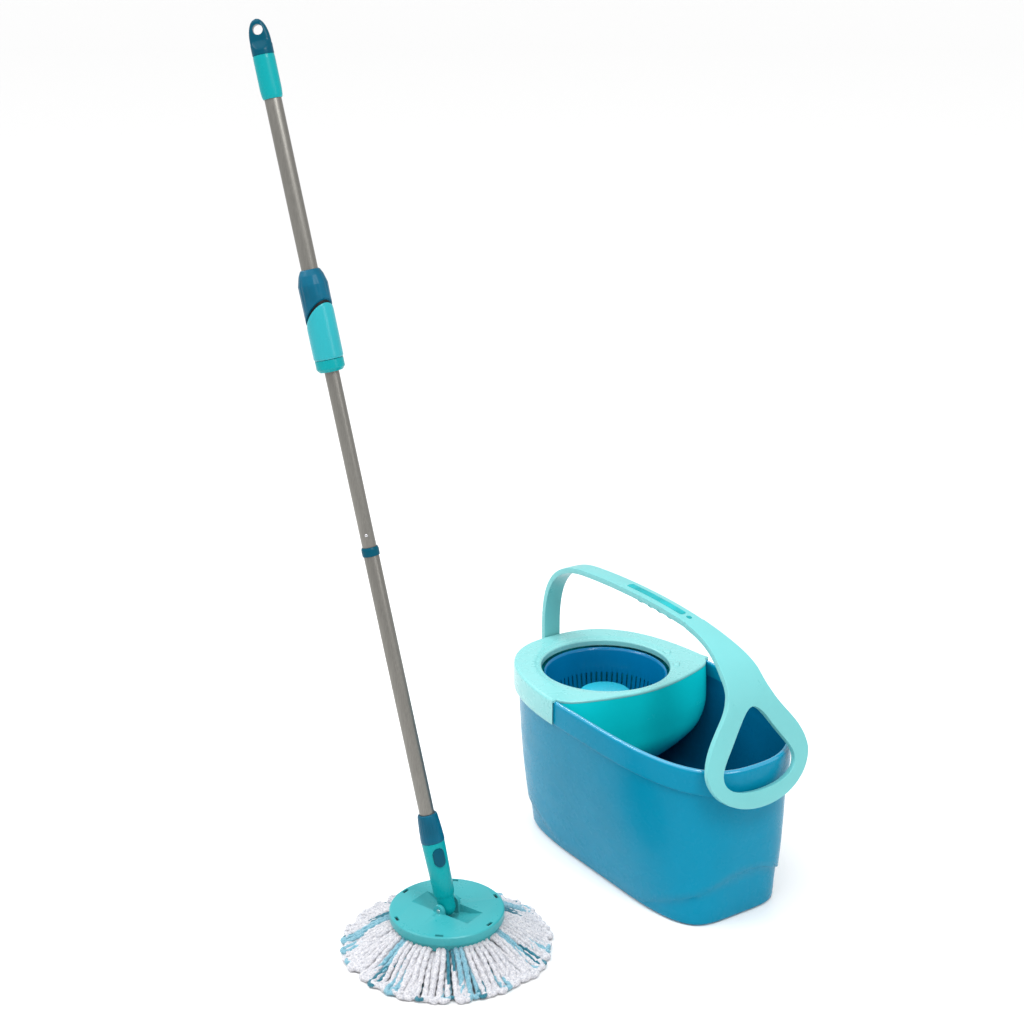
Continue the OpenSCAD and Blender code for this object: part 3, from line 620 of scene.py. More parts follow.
def deck_boundary():
    """The deck's edge as (plan point, normal, edge radius, has a skirt, thickness): front, corners, rim."""
    angle = np.linspace(-1.35, 1.35, 1200)
    cx, x, y = tank_outline(angle, TANK_TOP)
    front = np.stack([cx + x, y], -1)
    front = front[front[:, 0] > SKIRT_X]
    keep = [0]
    for k in range(1, len(front)):
        if np.linalg.norm(front[k] - front[keep[-1]]) > 2.2:
            keep.append(k)
    front = front[keep]
    phi = round_angles(1440)
    r = super_radius(phi, RIM_A + SKIRT_W, RIM_B + SKIRT_W, RIM_N)
    rim = np.stack([RIM_X + r * np.cos(phi), r * np.sin(phi)], -1)
    rim = rim[rim[:, 0] < SKIRT_X - 0.4][::4]
    end_y, side_y = abs(rim[0][1]), abs(front[-1][1])
    corner = [((SKIRT_X, mix(side_y, end_y, s)), (1.0, 0.0), 1.0, False, 3.0) for s in (0.35, 0.7, 0.92)]
    corner.append(((SKIRT_X, end_y - 0.1), (1.0, 1.0), 0.9, False, 3.0))
    corner.append(((SKIRT_X - 0.25, end_y - 0.05), (0.7, 1.0), 0.9, True, 2.2))
    corner = [(np.array(p), unit(np.array(n)), *rest) for p, n, *rest in corner]
    columns = []
    for p, n in zip(front, outward(front)):
        columns.append((p, n, mix(1.0, 3.0, smooth_step(side_y - abs(p[1]), 0, 14)), False, 3.0))
    columns += corner
    for p, n in zip(rim, outward(rim)):
        columns.append((p, n, mix(1.0, 4.5, smooth_step(SKIRT_X - p[0], 0, 16)), True, 2.9))
    mirror = np.array([1, -1])
    return columns + [(p * mirror, n * mirror, *rest) for p, n, *rest in reversed(corner)]


def build_deck():
    """The deck as closed loops: from the opening's rolled lip out to the edge, down the skirt and back."""
    top, under = DECK_TOP, DECK_TOP - DECK_T
    rows = []
    for p, n, radius, has_skirt, thick in deck_boundary():
        out = unit(p - BASKET_MID)
        reach = np.linalg.norm(p - BASKET_MID)
        ring = lambda past: BASKET_MID + out * (OPENING_R + past)
        loop = [(ring(0), under - 8), (ring(0), under - 3), (ring(0), top - 4.2)]
        for up, over in quarter(7):
            loop.append((ring(5.5 * over), top - 4.2 + 3.0 * up))
        for past, drop in ((7.2, 1.05), (8.6, 0.75), (9.6, 0.25), (10.4, 0)):
            loop.append((ring(past), top - drop))
        start, inner = loop[-1][0], p - n * radius
        for s in (0.2, 0.4, 0.6, 0.8, 0.93):
            loop.append((mix(start, inner, s), top))
        for up, over in quarter(6, 0):
            loop.append((p - n * radius * (1 - up), top - radius * over))
        low = SKIRT_BOTTOM if has_skirt else under - 2
        for s in (0.25, 0.5, 0.75):
            loop.append((p, mix(top - radius, low + 1.0, s)))
        loop += [(p, low + 1.0), (p - n * 0.3, low + 0.3), (p - n * 1.0, low), (p - n * (thick - 0.8), low)]
        back = p - n * thick
        loop.append((back, low + 0.8))
        for s in (0.3, 0.7):
            loop.append((back, mix(low + 0.8, under, s)))
        collar = BASKET_MID + out * min(OPENING_R + 3, reach - 4)
        loop += [(back, under), (mix(back, collar, 0.5), under), (collar, under), (collar, under - 8)]
        rows.append([(q[0], q[1], z) for q, z in loop])
    verts = [v for loop in rows for v in loop]
    faces = grid_faces(len(rows), len(rows[0]), wrap_rows=True)
    # the deck takes the lit copy of the insert's aqua: painted light
    obj = make_object("spinner_deck", verts, faces, AQUA_LIT, sharp=42)
    dress(obj, "bucket", "aqua")


def build_basket():
    """The basket's wall with its slots, as a thin sheet that is given its thickness afterwards."""
    slots, slot_w, slot_r, wall = 64, 2.4, 84.0, 2.5
    slot_low, slot_high = 168.0, 222.0
    floor = 161.5
    path = fillet([(12.0, floor, 0), (30, floor, 0), (54, floor, 0), (66, floor, 0), (75.6, floor, 6),
                   (90.6, 257.4, 3), (93.0, 260.6, 0)], closed=False)
    rows = []
    for k, p in enumerate(path):
        if k and path[k - 1][1] < 175 < p[1]:
            a, b = path[k - 1], p
            for z in (slot_low, 186, 204, slot_high, 234, 246):
                rows.append(a + (b - a) * (z - a[1]) / (b[1] - a[1]))
        rows.append(p)
    angles = []
    slot = slot_w / slot_r
    period = 2 * pi / slots
    for k in range(slots):
        base = k * period
        angles += [base, base + slot, base + slot + (period - slot) / 2]
    verts = [(BASKET_X + r * cos(a), r * sin(a), z) for r, z in rows for a in angles]
    columns = len(angles)
    faces = []
    for i, (a, b) in enumerate(zip(rows, rows[1:])):
        mid_r, mid_z = (a[0] + b[0]) / 2, (a[1] + b[1]) / 2
        for j in range(columns):
            in_slot = slot_low < mid_z < slot_high and j % 3 == 0
            in_drain = mid_z < 162 and 54 < mid_r < 66 and j % 16 == 4
            if not in_slot and not in_drain:
                here, there, n = i * columns, (i + 1) * columns, (j + 1) % columns
                faces.append((here + j, here + n, there + n, there + j))
    obj = make_object("spin_basket_moulding", verts, faces, BASKET_BLUE, sharp=50)
    solid = obj.modifiers.new("wall", "SOLIDIFY")
    solid.thickness = wall * MM
    solid.offset = 0
    solid.use_even_offset = True
    round_edges(obj, 0.4, 2, 50, 50)
    dress(obj, "basket", "petrol", "spin_basket")
    top = cad_box("basket_hub")[1][2]
    outline = fillet([(0, top, 0), (20, top - 0.4, 0), (39.5, top - 2.2, 5.5), (48, 163.1, 0.5),
                      (45, 163.1, 0), (36, top - 6, 2), (0, top - 4, 0)], 6)
    hub = turned("spinner_hub", CYAN, outline, Matrix.Translation((BASKET_X, 0, 0)), 128)
    dress(hub, "basket", "cyan", "basket_hub")


def build_latches():
    """Two soft raised latches beside the opening, higher on their outer side."""
    verts, faces, span = [], [], 16
    half_long, half_wide = 8.6, 5.4
    for turn in (radians(55), radians(82)):
        out, along = np.array([cos(turn), sin(turn)]), np.array([-sin(turn), cos(turn)])
        centre = BASKET_MID + out * (OPENING_R + 9.5)
        base = len(verts)
        for i in range(span + 1):
            for j in range(span + 1):
                u, v = 2 * i / span - 1, 2 * j / span - 1
                swell = (1 - u**4)**0.5 * (1 - v**4)**0.5
                p = (centre + along * u * half_long * (1 - 0.18 * v * v)
                     + out * v * half_wide * (1 - 0.15 * u * u))
                verts.append((p[0], p[1], DECK_TOP - 1.4 + swell * (3.6 + 1.7 * v)))
        faces += grid_faces(span + 1, span + 1, wrap_cols=False, base=base)
        border = ([(0, j) for j in range(span)] + [(i, span) for i in range(span)]
                  + [(span, span - j) for j in range(span)] + [(span - i, 0) for i in range(span)])
        faces.append(tuple(base + i * (span + 1) + j for i, j in border))
    # the latches take the deck's lit copy of the aqua: painted light
    latches = make_object("deck_latches", verts, faces, AQUA_LIT, sharp=60)
    dress(latches, "bucket", "aqua", "basket_clips")


# --- Bail ---

BAIL_Z = JOINTS["bail_swing"]["pos_m"][2] / MM
BAIL_W, BAIL_T = 29.0, 9.2
BAIL_BACK = cad_box("bail")[0][0] + BAIL_T / 2
NECK_Z = 345.0                        # the strip ends and the ring begins here
RIDGES = [-9, 14, 36, 58]             # places of the finger ridges under the grip


def bail_centre():
    """Side view of the bail's centre line with its length along the way and its normals."""
    points = [np.array([BAIL_BACK, BAIL_Z - BAIL_W / 2]), np.array([BAIL_BACK, BAIL_Z + 30])]
    points += curve((BAIL_BACK, 290), ((BAIL_BACK, 372), (-215, 404), (-140, 409), 40),
                    ((-60, 415), (30, 414), (95, 406), 30), ((165, 396), (212, 372), (226, 318), 40))
    end = np.array([258.0, 186.0])
    points += [points[-1] + (end - points[-1]) * s for s in np.linspace(0.05, 1, 20)]
    points = np.array(points)
    length = along_line(points)
    fine = np.linspace(0, length[-1], 900)
    line = np.stack([np.interp(fine, length, points[:, k]) for k in (0, 1)], -1)
    for _ in range(12):
        line[1:-1] = (line[:-2] + 2 * line[1:-1] + line[2:]) / 4
    along = tangents(line)
    return fine, line, np.stack([-along[:, 1], along[:, 0]], -1)


BAIL_S, BAIL_LINE, BAIL_NORMALS = bail_centre()


def on_bail(s, values):
    """The x and z of points or normals of the centre line at length s."""
    return float(np.interp(s, BAIL_S, values[:, 0])), float(np.interp(s, BAIL_S, values[:, 1]))


def bail_point(s, y, off):
    """Point at length s along the bail, y to its side and off above its centre line."""
    (x, z), (nx, nz) = on_bail(s, BAIL_LINE), on_bail(s, BAIL_NORMALS)
    return (x + nx * off, y, z + nz * off)


def length_at_height(z):
    """Length along the bail at a height on its way down to the pouring end."""
    front = BAIL_LINE[:, 0] > 100
    return float(np.interp(z, BAIL_LINE[front][:, 1][::-1], BAIL_S[front][::-1]))


def crown(v):
    """Half thickness across the bail, a little more in the middle than at its edges 0 and 1."""
    return BAIL_T / 2 - 0.55 * abs(2 * v - 1)**2.2


def resample(points, count):
    points = np.array(points)
    length = along_line(points)
    want = np.linspace(0, length[-1], count)
    return np.stack([np.interp(want, length, points[:, k]) for k in (0, 1)], -1)


def build_bail():
    """The strip over the top, then the ring in two mirrored halves; outlines are (half width, height)."""
    half, low = BAIL_W / 2, BAIL_Z - 11
    across, around, layers = 12, 64, 9      # quads over half the strip, down half the ring, points over it
    side = curve((half, 412), ((16, 395), (27, 385), (31, 365), 14), ((33, 320), (84, 300), (90, 252), 26),
                 ((90, 222), (56, low), (0, low), 26))
    hole = curve((0, 326), ((13, 326), (24, 306), (36, 290), 14), ((50, 270), (64, 256), (64, 243), 14),
                 ((64, 222), (35, 213), (0, 213), 20))
    neck = [p for p in side if p[1] > NECK_Z]
    below = [p for p in side if p[1] <= NECK_Z]
    a, b = neck[-1], below[0]
    neck_end = a + (b - a) * (a[1] - NECK_Z) / (a[1] - b[1])
    seam = np.stack([np.linspace(0, neck_end[0], across + 1), np.full(across + 1, NECK_Z)], -1)
    outer = np.concatenate([seam, resample([neck_end] + below, around + 1)[1:]])
    inner = resample(hole, len(outer))
    verts, faces = [], []

    def add(s, y, off):
        verts.append(bail_point(s, y, off))
        return len(verts) - 1

    neck_z = np.array([p[1] for p in neck] + [NECK_Z])
    neck_w = np.array([p[0] for p in neck] + [neck_end[0]])
    neck_start = length_at_height(float(neck[0][1]))
    columns = np.linspace(-1, 1, 2 * across + 1)
    top_rows, low_rows = [], []
    for s in np.linspace(0, length_at_height(NECK_Z), 230):
        (x, z), w = on_bail(s, BAIL_LINE), half
        if s > neck_start:
            w = float(np.interp(-z, -neck_z, neck_w))
        if s < half:
            w = min(w, sqrt(max(0.0, half**2 - (half - s)**2)))
        w = max(w, 1.2)
        ridge = max(4.2 * exp(-((x - middle) / 4.2)**4) for middle in RIDGES) if z > 380 else 0.0
        top_rows.append([add(s, w * u, crown((u + 1) / 2)) for u in columns])
        low_rows.append([add(s, w * u, -crown((u + 1) / 2) - ridge * (1 - abs(u)**6)) for u in columns])
    count = len(top_rows)
    for rows, flip in ((top_rows, False), (low_rows, True)):
        for i in range(count - 1):
            for j in range(len(columns) - 1):
                quad = (rows[i][j], rows[i][j + 1], rows[i + 1][j + 1], rows[i + 1][j])
                faces.append(quad[::-1] if flip else quad)
    for i in range(count - 1):
        for j in (0, -1):
            faces.append((top_rows[i][j], top_rows[i + 1][j], low_rows[i + 1][j], low_rows[i][j]))
    for j in range(len(columns) - 1):
        faces.append((top_rows[0][j], low_rows[0][j], low_rows[0][j + 1], top_rows[0][j + 1]))

    ring = {}                         # top and bottom point by side, place round and place across
    for sign in (1, -1):
        for k in range(len(outer)):
            on_middle = k in (0, len(outer) - 1)
            for m in range(layers):
                v = m / (layers - 1)
                p = mix(outer[k], inner[k], v)
                if on_middle and sign == -1:
                    ring[(sign, k, m)] = ring[(1, k, m)]
                    continue
                if m == 0 and k <= across:
                    column = across + sign * k
                    ring[(sign, k, m)] = (top_rows[-1][column], low_rows[-1][column])
                    continue
                soft = crown(v) if k > across + 6 else mix(crown(0.5), crown(v), max(0, k - across) / 6)
                if k <= across:
                    soft = BAIL_T / 2 - 0.55 * abs(k / across)**2.2 * (1 - v)
                s, y = length_at_height(p[1]), 0.0 if on_middle else sign * p[0]
                ring[(sign, k, m)] = (add(s, y, soft), add(s, y, -soft))
        for k in range(len(outer) - 1):
            for m in range(layers - 1):
                corners = [ring[(sign, k, m)], ring[(sign, k + 1, m)],
                           ring[(sign, k + 1, m + 1)], ring[(sign, k, m + 1)]]
                faces += [tuple(c[0] for c in corners), tuple(c[1] for c in corners)]
            if k >= across:
                a, b = ring[(sign, k, 0)], ring[(sign, k + 1, 0)]
                faces.append((a[0], b[0], b[1], a[1]))
            a, b = ring[(sign, k, layers - 1)], ring[(sign, k + 1, layers - 1)]
            faces.append((a[0], a[1], b[1], b[0]))
    obj = make_object("carrying_bail", verts, faces, AQUA_BAIL, sharp=50, weld=True)
    round_edges(obj, 2.2, 3, 50, 60)
    dress(obj, "bail", "aqua", "bail")


def build_inlay():
    """Ribbed inlay on top of the grip: a long bar and a short end piece."""
    profile = [(-1.0, -0.6), (-1.0, 0.5), (-0.93, 0.85), (-0.8, 1.0), (0, 1.1), (0.8, 1.0), (0.93, 0.85),
               (1.0, 0.5), (1.0, -0.6)]
    cols = len(profile)
    verts, faces = [], []
    for x0, x1, wide in ((-50, 75, 5.2), (83, 91, 3.0)):
        s0, s1 = (float(np.interp(x, BAIL_LINE[:, 0], BAIL_S)) for x in (x0, x1))
        count = int((x1 - x0) * 2)
        base = len(verts)
        for i in range(count + 1):
            s = mix(s0, s1, i / count)
            end = min(i, count - i) / 4.0
            rib = 0.22 * (0.5 - 0.5 * cos(i * pi / 2.5))
            tall = 1.15 * min(1.0, 0.45 + 0.55 * min(1.0, end)) - rib
            slim = sqrt(max(0.15, min(1.0, 0.35 + end)))
            verts += [bail_point(s, u * wide * slim, BAIL_T / 2 + h * tall) for u, h in profile]
        first, last = (end[::-1] for end in end_faces(count + 1, cols, base))
        faces += grid_faces(count + 1, cols, base=base) + [first, last]
    inlay = make_object("grip_ribs", verts, faces, INLAY, sharp=70)
    dress(inlay, "bail", "turquoise", "grip_inlay")


# --- Mop head ---

def beside(r, angle, across, z):
    """Point at distance r in a direction, moved sideways by across."""
    c, s = cos(angle), sin(angle)
    return np.array([r * c - across * s, r * s + across * c, z])


def yarn_loop(angle, root, tip, lift, turn_r, thick):
    """One looped yarn: out along one leg, round at the tip and back, as a list of centre points."""
    sway = rng.uniform(-0.05, 0.05)
    curl = rng.uniform(-2.5, 2.5)
    lowest, tip_r = thick + 0.6, tip - turn_r
    hangs = lift > 20
    legs = []
    for side in (-1, 1):
        leg = []
        for k in range(13):
            s = k / 12
            drop = smooth_up(s) * 0.35 + 0.65 * s**1.5 if hangs else s**0.9
            z = mix(lift, lowest, drop) + 1.2 * sin(pi * s) * (1 if hangs else 0.3)
            across = side * mix(3.0, turn_r, smooth_up(s)) + curl * sin(pi * s * 1.3)
            leg.append(beside(mix(root, tip_r, s), angle + sway * s, across, z))
        legs.append(leg)
    bend = curl * sin(pi * 1.3)
    turn = []
    for k in range(1, 8):
        t = pi * k / 8
        turn.append(beside(tip_r + turn_r * sin(t), angle + sway, -turn_r * cos(t) + bend, lowest))
    return legs[0] + turn + legs[1][::-1]


def sweep_yarn(verts, faces, path, thick, phase):
    """A two-ply twisted cord along a path, with an uneven fuzzy surface and closed ends."""
    spacing, sides, twist_length = 1.7, 12, 24.0
    path = np.array(path)
    length = along_line(path)
    rows = int(length[-1] / spacing) + 1
    want = np.linspace(0, length[-1], rows)
    line = np.stack([hermite(want, length, path[:, k]) for k in range(3)], -1)
    along = tangents(line)
    ref = np.array([0.0, 0.0, 1.0])
    base = len(verts)
    fuzz = [[rng.gauss(0, 0.045) for _ in range(sides)] for _ in range(rows)]
    for i, t in enumerate(along):
        ref = ref - t * (ref @ t)
        ref /= np.linalg.norm(ref)
        other = np.cross(t, ref)
        twist = 2 * pi * want[i] / twist_length + phase
        for k in range(sides):
            a = 2 * pi * k / sides
            plies = 0.92 + 0.13 * cos(2 * (a - twist)) + 0.05 * cos(3 * a + want[i] * 0.9 + phase)
            r = thick * (plies + fuzz[i][k])
            verts.append(line[i] + ref * (r * cos(a)) + other * (r * sin(a)))
    faces += grid_faces(rows, sides, base=base) + end_faces(rows, sides, base)


def build_fringe():
    """Looped yarns in four layers from under the disc; mostly white, some blue, a few thin teal ones."""
    colours = {"white": YARN_WHITE, "light": YARN_LIGHT, "teal": YARN_TEAL}
    bags = {name: ([], []) for name in colours}
    coloured = {2: "light", 6: "teal", 9: "light"}      # of eleven yarns; the others are white
    # yarns in the layer, radius and height of their roots, nearest and farthest tip, thickness
    layers = [(36, 62.0, 41.0, 134, 142, 3.9), (36, 60.0, 34.0, 137, 145, 3.9),
              (34, 64.0, 24.0, 139, 146, 4.1), (30, 70.0, 9.0, 136, 144.5, 4.0)]
    for number, (count, root, lift, near, far, thick) in enumerate(layers):
        for k in range(count):
            angle = 2 * pi * (k + 0.5 * (number % 2) + rng.uniform(-0.2, 0.2)) / count
            name = coloured.get((k * 3 + number * 4) % 11, "white")
            path = yarn_loop(angle, root, rng.uniform(near, far), lift, rng.uniform(4.3, 5.2), thick)
            size = thick * (0.72 if name == "teal" else 1.0) * rng.uniform(0.95, 1.04)
            sweep_yarn(*bags[name], [HEAD @ Vector(p) for p in path], size, rng.uniform(0, 6.28))
    for name, (verts, faces) in bags.items():
        obj = make_object("yarn_" + name, verts, faces, colours[name], sharp=180)
        dress(obj, "mop_pad", "yarn", *(["mop_fringe"] if name == "white" else []))


# --- Handle: radii, and heights above the hinge ---

SNAP_AZ, CUT_AZ = radians(128), radians(168)
LOWER_TUBE = (10.4, 9.64, 30, 506)    # outer radius, bore, bottom, top
INNER_TUBE = (9.6, 8.6, 440, 860)
UPPER_TUBE = (11.0, 10.0, 767, 1163)
SEAL = (16.35, 11.05, 767, 851)
COLLAR_LOW, COLLAR_TOP, COLLAR_BORE = 95.0, 135.0, 10.5
RING_LOW, RING_STEP, RING_TOP = 499, 506.1, 511
SNAP_Z = 528
BUSH_LOW, BUSH_TOP = 748, 764
SLEEVE_LOW, SLEEVE_R, SLEEVE_BORE = 764.5, 19.4, 16.5
CUT_Z, CUT_SLOPE, CUT_GAP = 819, (838 - 800) / (2 * 19.5), 5
GRIP_WIDE, GRIP_TOP, GRIP_CORE = 862, 882, 851
END_LOW, END_TOP = 1100, 1155
CAP_R, CAP_TOP, CAP_HALF_T = 14.0, 1200.0, 7.4
EYE_Z, EYE_R = 1186.0, 6.5


def handle_piece(name, material, outline, segments, body, slot, node):
    """A piece turned round the handle's axis."""
    dress(turned(name, material, outline, HANDLE, segments), body, slot, node)


def tube_outline(outer, bore, low, high):
    return fillet([(outer, low, 0.6), (outer, high, 0.6), (bore, high, 0.6), (bore, low, 0.6)], 3)


def cut_height(a, r, shift):
    """Height of the slanted cut between lock sleeve and grip."""
    return CUT_Z + shift + CUT_SLOPE * r * cos(a - CUT_AZ)


def collar(a):
    rib = 0.22 * cos(24 * a)
    return fillet([(16.3, COLLAR_LOW, 0.8), (16.5, COLLAR_LOW + 3, 1.0), (15.4 + rib, 113, 8),
                   (13.9 + rib * 0.6, 131, 3), (13.2, COLLAR_TOP, 1.6), (COLLAR_BORE, COLLAR_TOP, 0.3),
                   (COLLAR_BORE, COLLAR_LOW, 0.3)])


def sleeve(a):
    """The lock sleeve, a little flatter where the thumb goes."""
    thumb = max(0.0, cos(a - CUT_AZ))**6
    flat = 0.7 * thumb
    return fillet([(18.9, SLEEVE_LOW, 0.6), (19.75, 767, 1), (19.75 - 0.3 * thumb, 790, 6),
                   (19.8 - flat, cut_height(a, 19.8, -CUT_GAP), 3),
                   (SLEEVE_R - flat, cut_height(a, SLEEVE_R, 0), 0.8),
                   (SLEEVE_BORE, cut_height(a, SLEEVE_BORE, 0), 0.3), (SLEEVE_BORE, SLEEVE_LOW, 0.3)])


def grip(a):
    """The ribbed grip, from the cut to its round top."""
    rib = 0.28 * cos(16 * a)
    low = cut_height(a, SLEEVE_R, CUT_GAP)
    return fillet([(SLEEVE_BORE, cut_height(a, SLEEVE_BORE, CUT_GAP), 0.3), (19.3, low, 0.8),
                   (19.5, low + 2, 1), (19.2 + rib, mix(low, GRIP_WIDE, 0.5), 8),
                   (19.4 + rib, GRIP_WIDE, 6), (16.5, 874, 5), (13.2, 880.5, 2), (11.1, GRIP_TOP, 0.3),
                   (11.1, GRIP_CORE + 4, 0), (SLEEVE_BORE, GRIP_CORE, 0)])


def build_socket():
    """The socket, slimmed towards the hinge, and its button."""
    socket = rounded_copy("tube_socket", TURQUOISE_DEEP, 0.9, "lower_shaft", "turquoise", "socket")
    back = HANDLE.inverted()
    for v in socket.data.vertices:
        q = back @ (v.co / MM)
        k = mix(0.90, 1.0, max(0.0, min(1.0, (q.z - 16) / 70)))
        v.co = (HANDLE @ Vector((q.x * k, q.y * k, q.z))) * MM
    rounded_copy("oval_button", PETROL, 1.2, "button", "petrol", "release_button")


def build_handle():
    stop_ring = fillet([(11.7, RING_LOW, 0.8), (11.9, RING_LOW + 3, 1), (11.9, RING_TOP - 3, 1.6),
                        (10.9, RING_TOP, 0.5), (9.64, RING_TOP, 0), (9.64, RING_STEP, 0),
                        (10.45, RING_STEP, 0), (10.45, RING_LOW, 0.2)])
    bush = fillet([(15.2, BUSH_LOW, 1.6), (18.9, BUSH_LOW + 4.5, 3), (18.9, BUSH_TOP, 0.8),
                   (9.7, BUSH_TOP, 0.3), (9.7, BUSH_LOW, 0.3)], 5)
    end_grip = fillet([(12.4, END_LOW, 0.8), (13.4, END_LOW + 4, 1.5), (14.0, END_LOW + 12, 4),
                       (14.0, END_TOP - 5, 3), (13.6, END_TOP, 0.6), (11.05, END_TOP, 0.3),
                       (11.05, END_LOW, 0.3)], 5)
    handle_piece("tapered_collar", PETROL_GRIP, collar, 144, "lower_shaft", "petrol", "socket_collar")
    handle_piece("outer_tube", TUBE, tube_outline(*LOWER_TUBE), 64, "lower_shaft", "tube_grey", "lower_tube")
    handle_piece("stop_ring", PETROL, stop_ring, 72, "lower_shaft", "petrol", "tube_ring")
    handle_piece("telescopic_tube", TUBE, tube_outline(*INNER_TUBE), 64, "lower_shaft", "tube_grey",
                 "inner_tube")
    stud = fillet([(0, 10.8, 0), (1.4, 10.5, 0.8), (2.15, 9.8, 0.6), (2.15, 7.2, 0), (0, 7.2, 0)], 3)
    outwards = (Matrix.Rotation(SNAP_AZ, 4, "Z") @ Matrix.Translation((0, 0, SNAP_Z))
                @ Matrix.Rotation(pi / 2, 4, "Y"))
    piece = turned("snap_stud", STEEL, stud, HANDLE @ outwards, 32)
    dress(piece, "lower_shaft", "steel", "snap_pin")
    handle_piece("guide_collar", TURQUOISE_DEEP, bush, 96, "bush", "turquoise", "guide_bush")
    handle_piece("lock_sleeve_shell", TURQUOISE_SLEEVE, sleeve, 144, "lock", "turquoise", "lock_sleeve")
    handle_piece("grip_housing", PETROL_GRIP, grip, 160, "upper_handle", "petrol", "grip_body")
    handle_piece("slip_core", BLACK, tube_outline(*SEAL), 72, "upper_handle", "black", "lock_seal")
    handle_piece("handle_tube", TUBE, tube_outline(*UPPER_TUBE), 64, "upper_handle", "tube_grey",
                 "upper_tube")
    handle_piece("end_grip", TURQUOISE_DEEP, end_grip, 96, "upper_handle", "turquoise", "end_sleeve")


def build_cap():
    """Bullet-shaped end with a hanging eye: round at the sleeve, flattened and pointed at the tip."""
    spans, steps = 72, 40
    taper_z, taper_r = 1168, 13.6
    rows = []
    for k in range(steps):
        t = END_TOP + 45 * (k / steps)
        width = CAP_R
        if t > taper_z:
            width = taper_r * sqrt(1 - ((t - taper_z) / 32.0)**2.3)
        depth = min(mix(CAP_R, CAP_HALF_T, smooth_step(t, 1160, 1174)), width)
        power = mix(2.0, 3.2, smooth_step(t, 1160, 1176))
        ring = []
        for j in range(spans):
            a = 2 * pi * j / spans
            c, d = cos(a), sin(a)
            r = (abs(c / depth)**power + abs(d / width)**power)**(-1 / power)
            ring.append((r * c, r * d, t))
        rows.append(ring)
    turn = Matrix.Rotation(SNAP_AZ, 4, "Z")
    verts = [HANDLE @ (turn @ Vector(p)) for ring in rows for p in ring]
    verts.append(HANDLE @ Vector((0, 0, CAP_TOP)))
    faces = grid_faces(steps, spans) + end_faces(steps, spans)[:1]
    last = (steps - 1) * spans
    faces += [(last + j, last + (j + 1) % spans, len(verts) - 1) for j in range(spans)]
    obj = make_object("hanging_cap", verts, faces, PETROL, sharp=50)
    drill_mesh = bpy.data.meshes.new("drill")
    r = EYE_R * MM
    bm = bmesh.new()
    bmesh.ops.create_cone(bm, cap_ends=True, segments=48, radius1=r, radius2=r, depth=40 * MM)
    bm.to_mesh(drill_mesh)
    bm.free()
    drill = new_object("drill", drill_mesh)
    place = HANDLE @ turn @ Matrix.Translation((0, 0, EYE_Z)) @ Matrix.Rotation(pi / 2, 4, "Y")
    place.translation = place.translation * MM
    drill.matrix_world = place
    bpy.context.view_layer.update()
    cutter = obj.modifiers.new("eye", "BOOLEAN")
    cutter.operation = "DIFFERENCE"
    cutter.object = drill
    round_edges(obj, 1.3, 3, 42, 50)
    bpy.data.objects.remove(drill)
    dress(obj, "upper_handle", "petrol", "end_cap")


# --- Camera, lights and floor ---

def aim(obj, direction):
    obj.rotation_euler = Vector(direction).to_track_quat("-Z", "Y").to_euler()


def add_area(name, place, target, size, size_y, power):
    light = bpy.data.lights.new(name, "AREA")
    light.shape = "RECTANGLE"
    light.size = size
    light.size_y = size_y
    light.energy = power
    obj = new_object(name, light)
    obj.location = place
    aim(obj, Vector(target) - Vector(place))


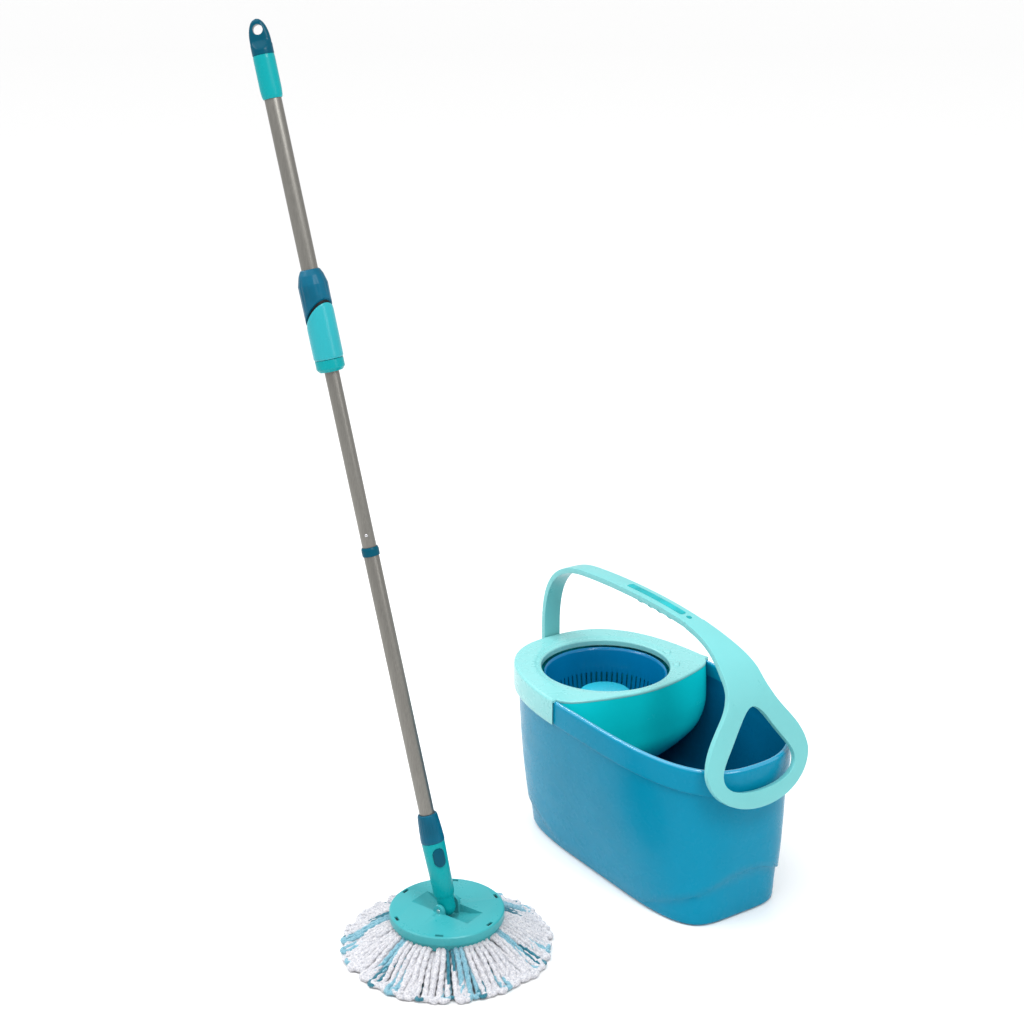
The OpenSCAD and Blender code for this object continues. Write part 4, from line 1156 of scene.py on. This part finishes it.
def build_stage():
    """Pale floor under soft studio light, in metres."""
    half = 220.0
    floor_mesh = bpy.data.meshes.new("floor")
    corners = [(-half, -half, 0), (half, -half, 0), (half, half, 0), (-half, half, 0)]
    floor_mesh.from_pydata(corners, [], [(0, 1, 2, 3)])
    floor = new_object("floor", floor_mesh)
    floor.location.z = -0.0005
    mat, tree, bsdf = shader("pale_floor")
    put(bsdf, Base_Color=(0.90, 0.90, 0.90, 1), Roughness=0.20, Specular_IOR_Level=0.30)
    floor_mesh.materials.append(mat)
    world = bpy.data.worlds.new("studio")
    bpy.context.scene.world = world
    world.use_nodes = True
    put(world.node_tree.nodes["Background"], Color=(1, 1, 1, 1), Strength=0.80)
    sun = bpy.data.lights.new("sky_glow", "SUN")
    sun.energy = 1.6
    sun.angle = radians(70)
    aim(new_object("sky_glow", sun), (0.10, 0.42, -1.0))
    add_area("strip_light", (-1.5, -1.3, 2.3), (0.1, -0.1, 0.2), 3.4, 0.22, 34)
    add_area("end_light", (3.2, 0.9, 1.7), (0.1, -0.1, 0.3), 1.0, 1.0, 10)
    add_area("well_light", (1.5, -0.3, 2.3), (-0.02, 0.0, 0.2), 0.7, 0.7, 26)


def build_camera():
    """A camera in between the one that fits the bucket in the photograph and the one that fits the mop."""
    data = bpy.data.cameras.new("camera")
    data.sensor_width = 36.0
    data.lens = 63.28
    data.clip_end = 2000
    camera = new_object("camera", data)
    camera.location = (1.9065, -1.5206, 1.3488)
    heading, down = 0.591, 0.32
    aim(camera, (-cos(heading) * cos(down), sin(heading) * cos(down), -sin(down)))
    bpy.context.scene.camera = camera


build_camera()
build_stage()
bpy.context.scene.view_settings.view_transform = "Standard"
build_bucket()
build_tank()
build_deck()
build_basket()
build_latches()
build_bail()
build_inlay()
rounded_copy("pivot_pins", BUCKET_BLUE, 1.0, "bucket", "bucket_blue", "bail_pins")
rounded_copy("disc_plate", TURQUOISE, 1.0, "mop_head", "turquoise", "mop_disc")
rounded_copy("yarn_ring", TURQUOISE, 0.8, "mop_pad", "turquoise", "pad_ring")
rounded_copy("snap_clips", BLACK, 0.4, "mop_pad", "black", "ring_clips")
rounded_copy("steel_hinge_pin", STEEL, 0.6, "mop_head", "steel", "hinge_pin")
build_fringe()
build_socket()
build_handle()
build_cap()

# every CAD node gets its material; those that no piece stands for show in their own shape
CAD_LOOK = {"bucket_blue": BUCKET_BLUE, "aqua": AQUA_LIT, "petrol": PETROL, "turquoise": TURQUOISE, "cyan": CYAN,
            "steel": STEEL, "tube_grey": TUBE, "yarn": YARN_WHITE, "black": BLACK}
for part in frame["record"]["subparts"]:
    obj = frame["nodes"][part["node"]]
    obj.data.materials.clear()
    obj.data.materials.append(CAD_LOOK[part["material_slot"]])
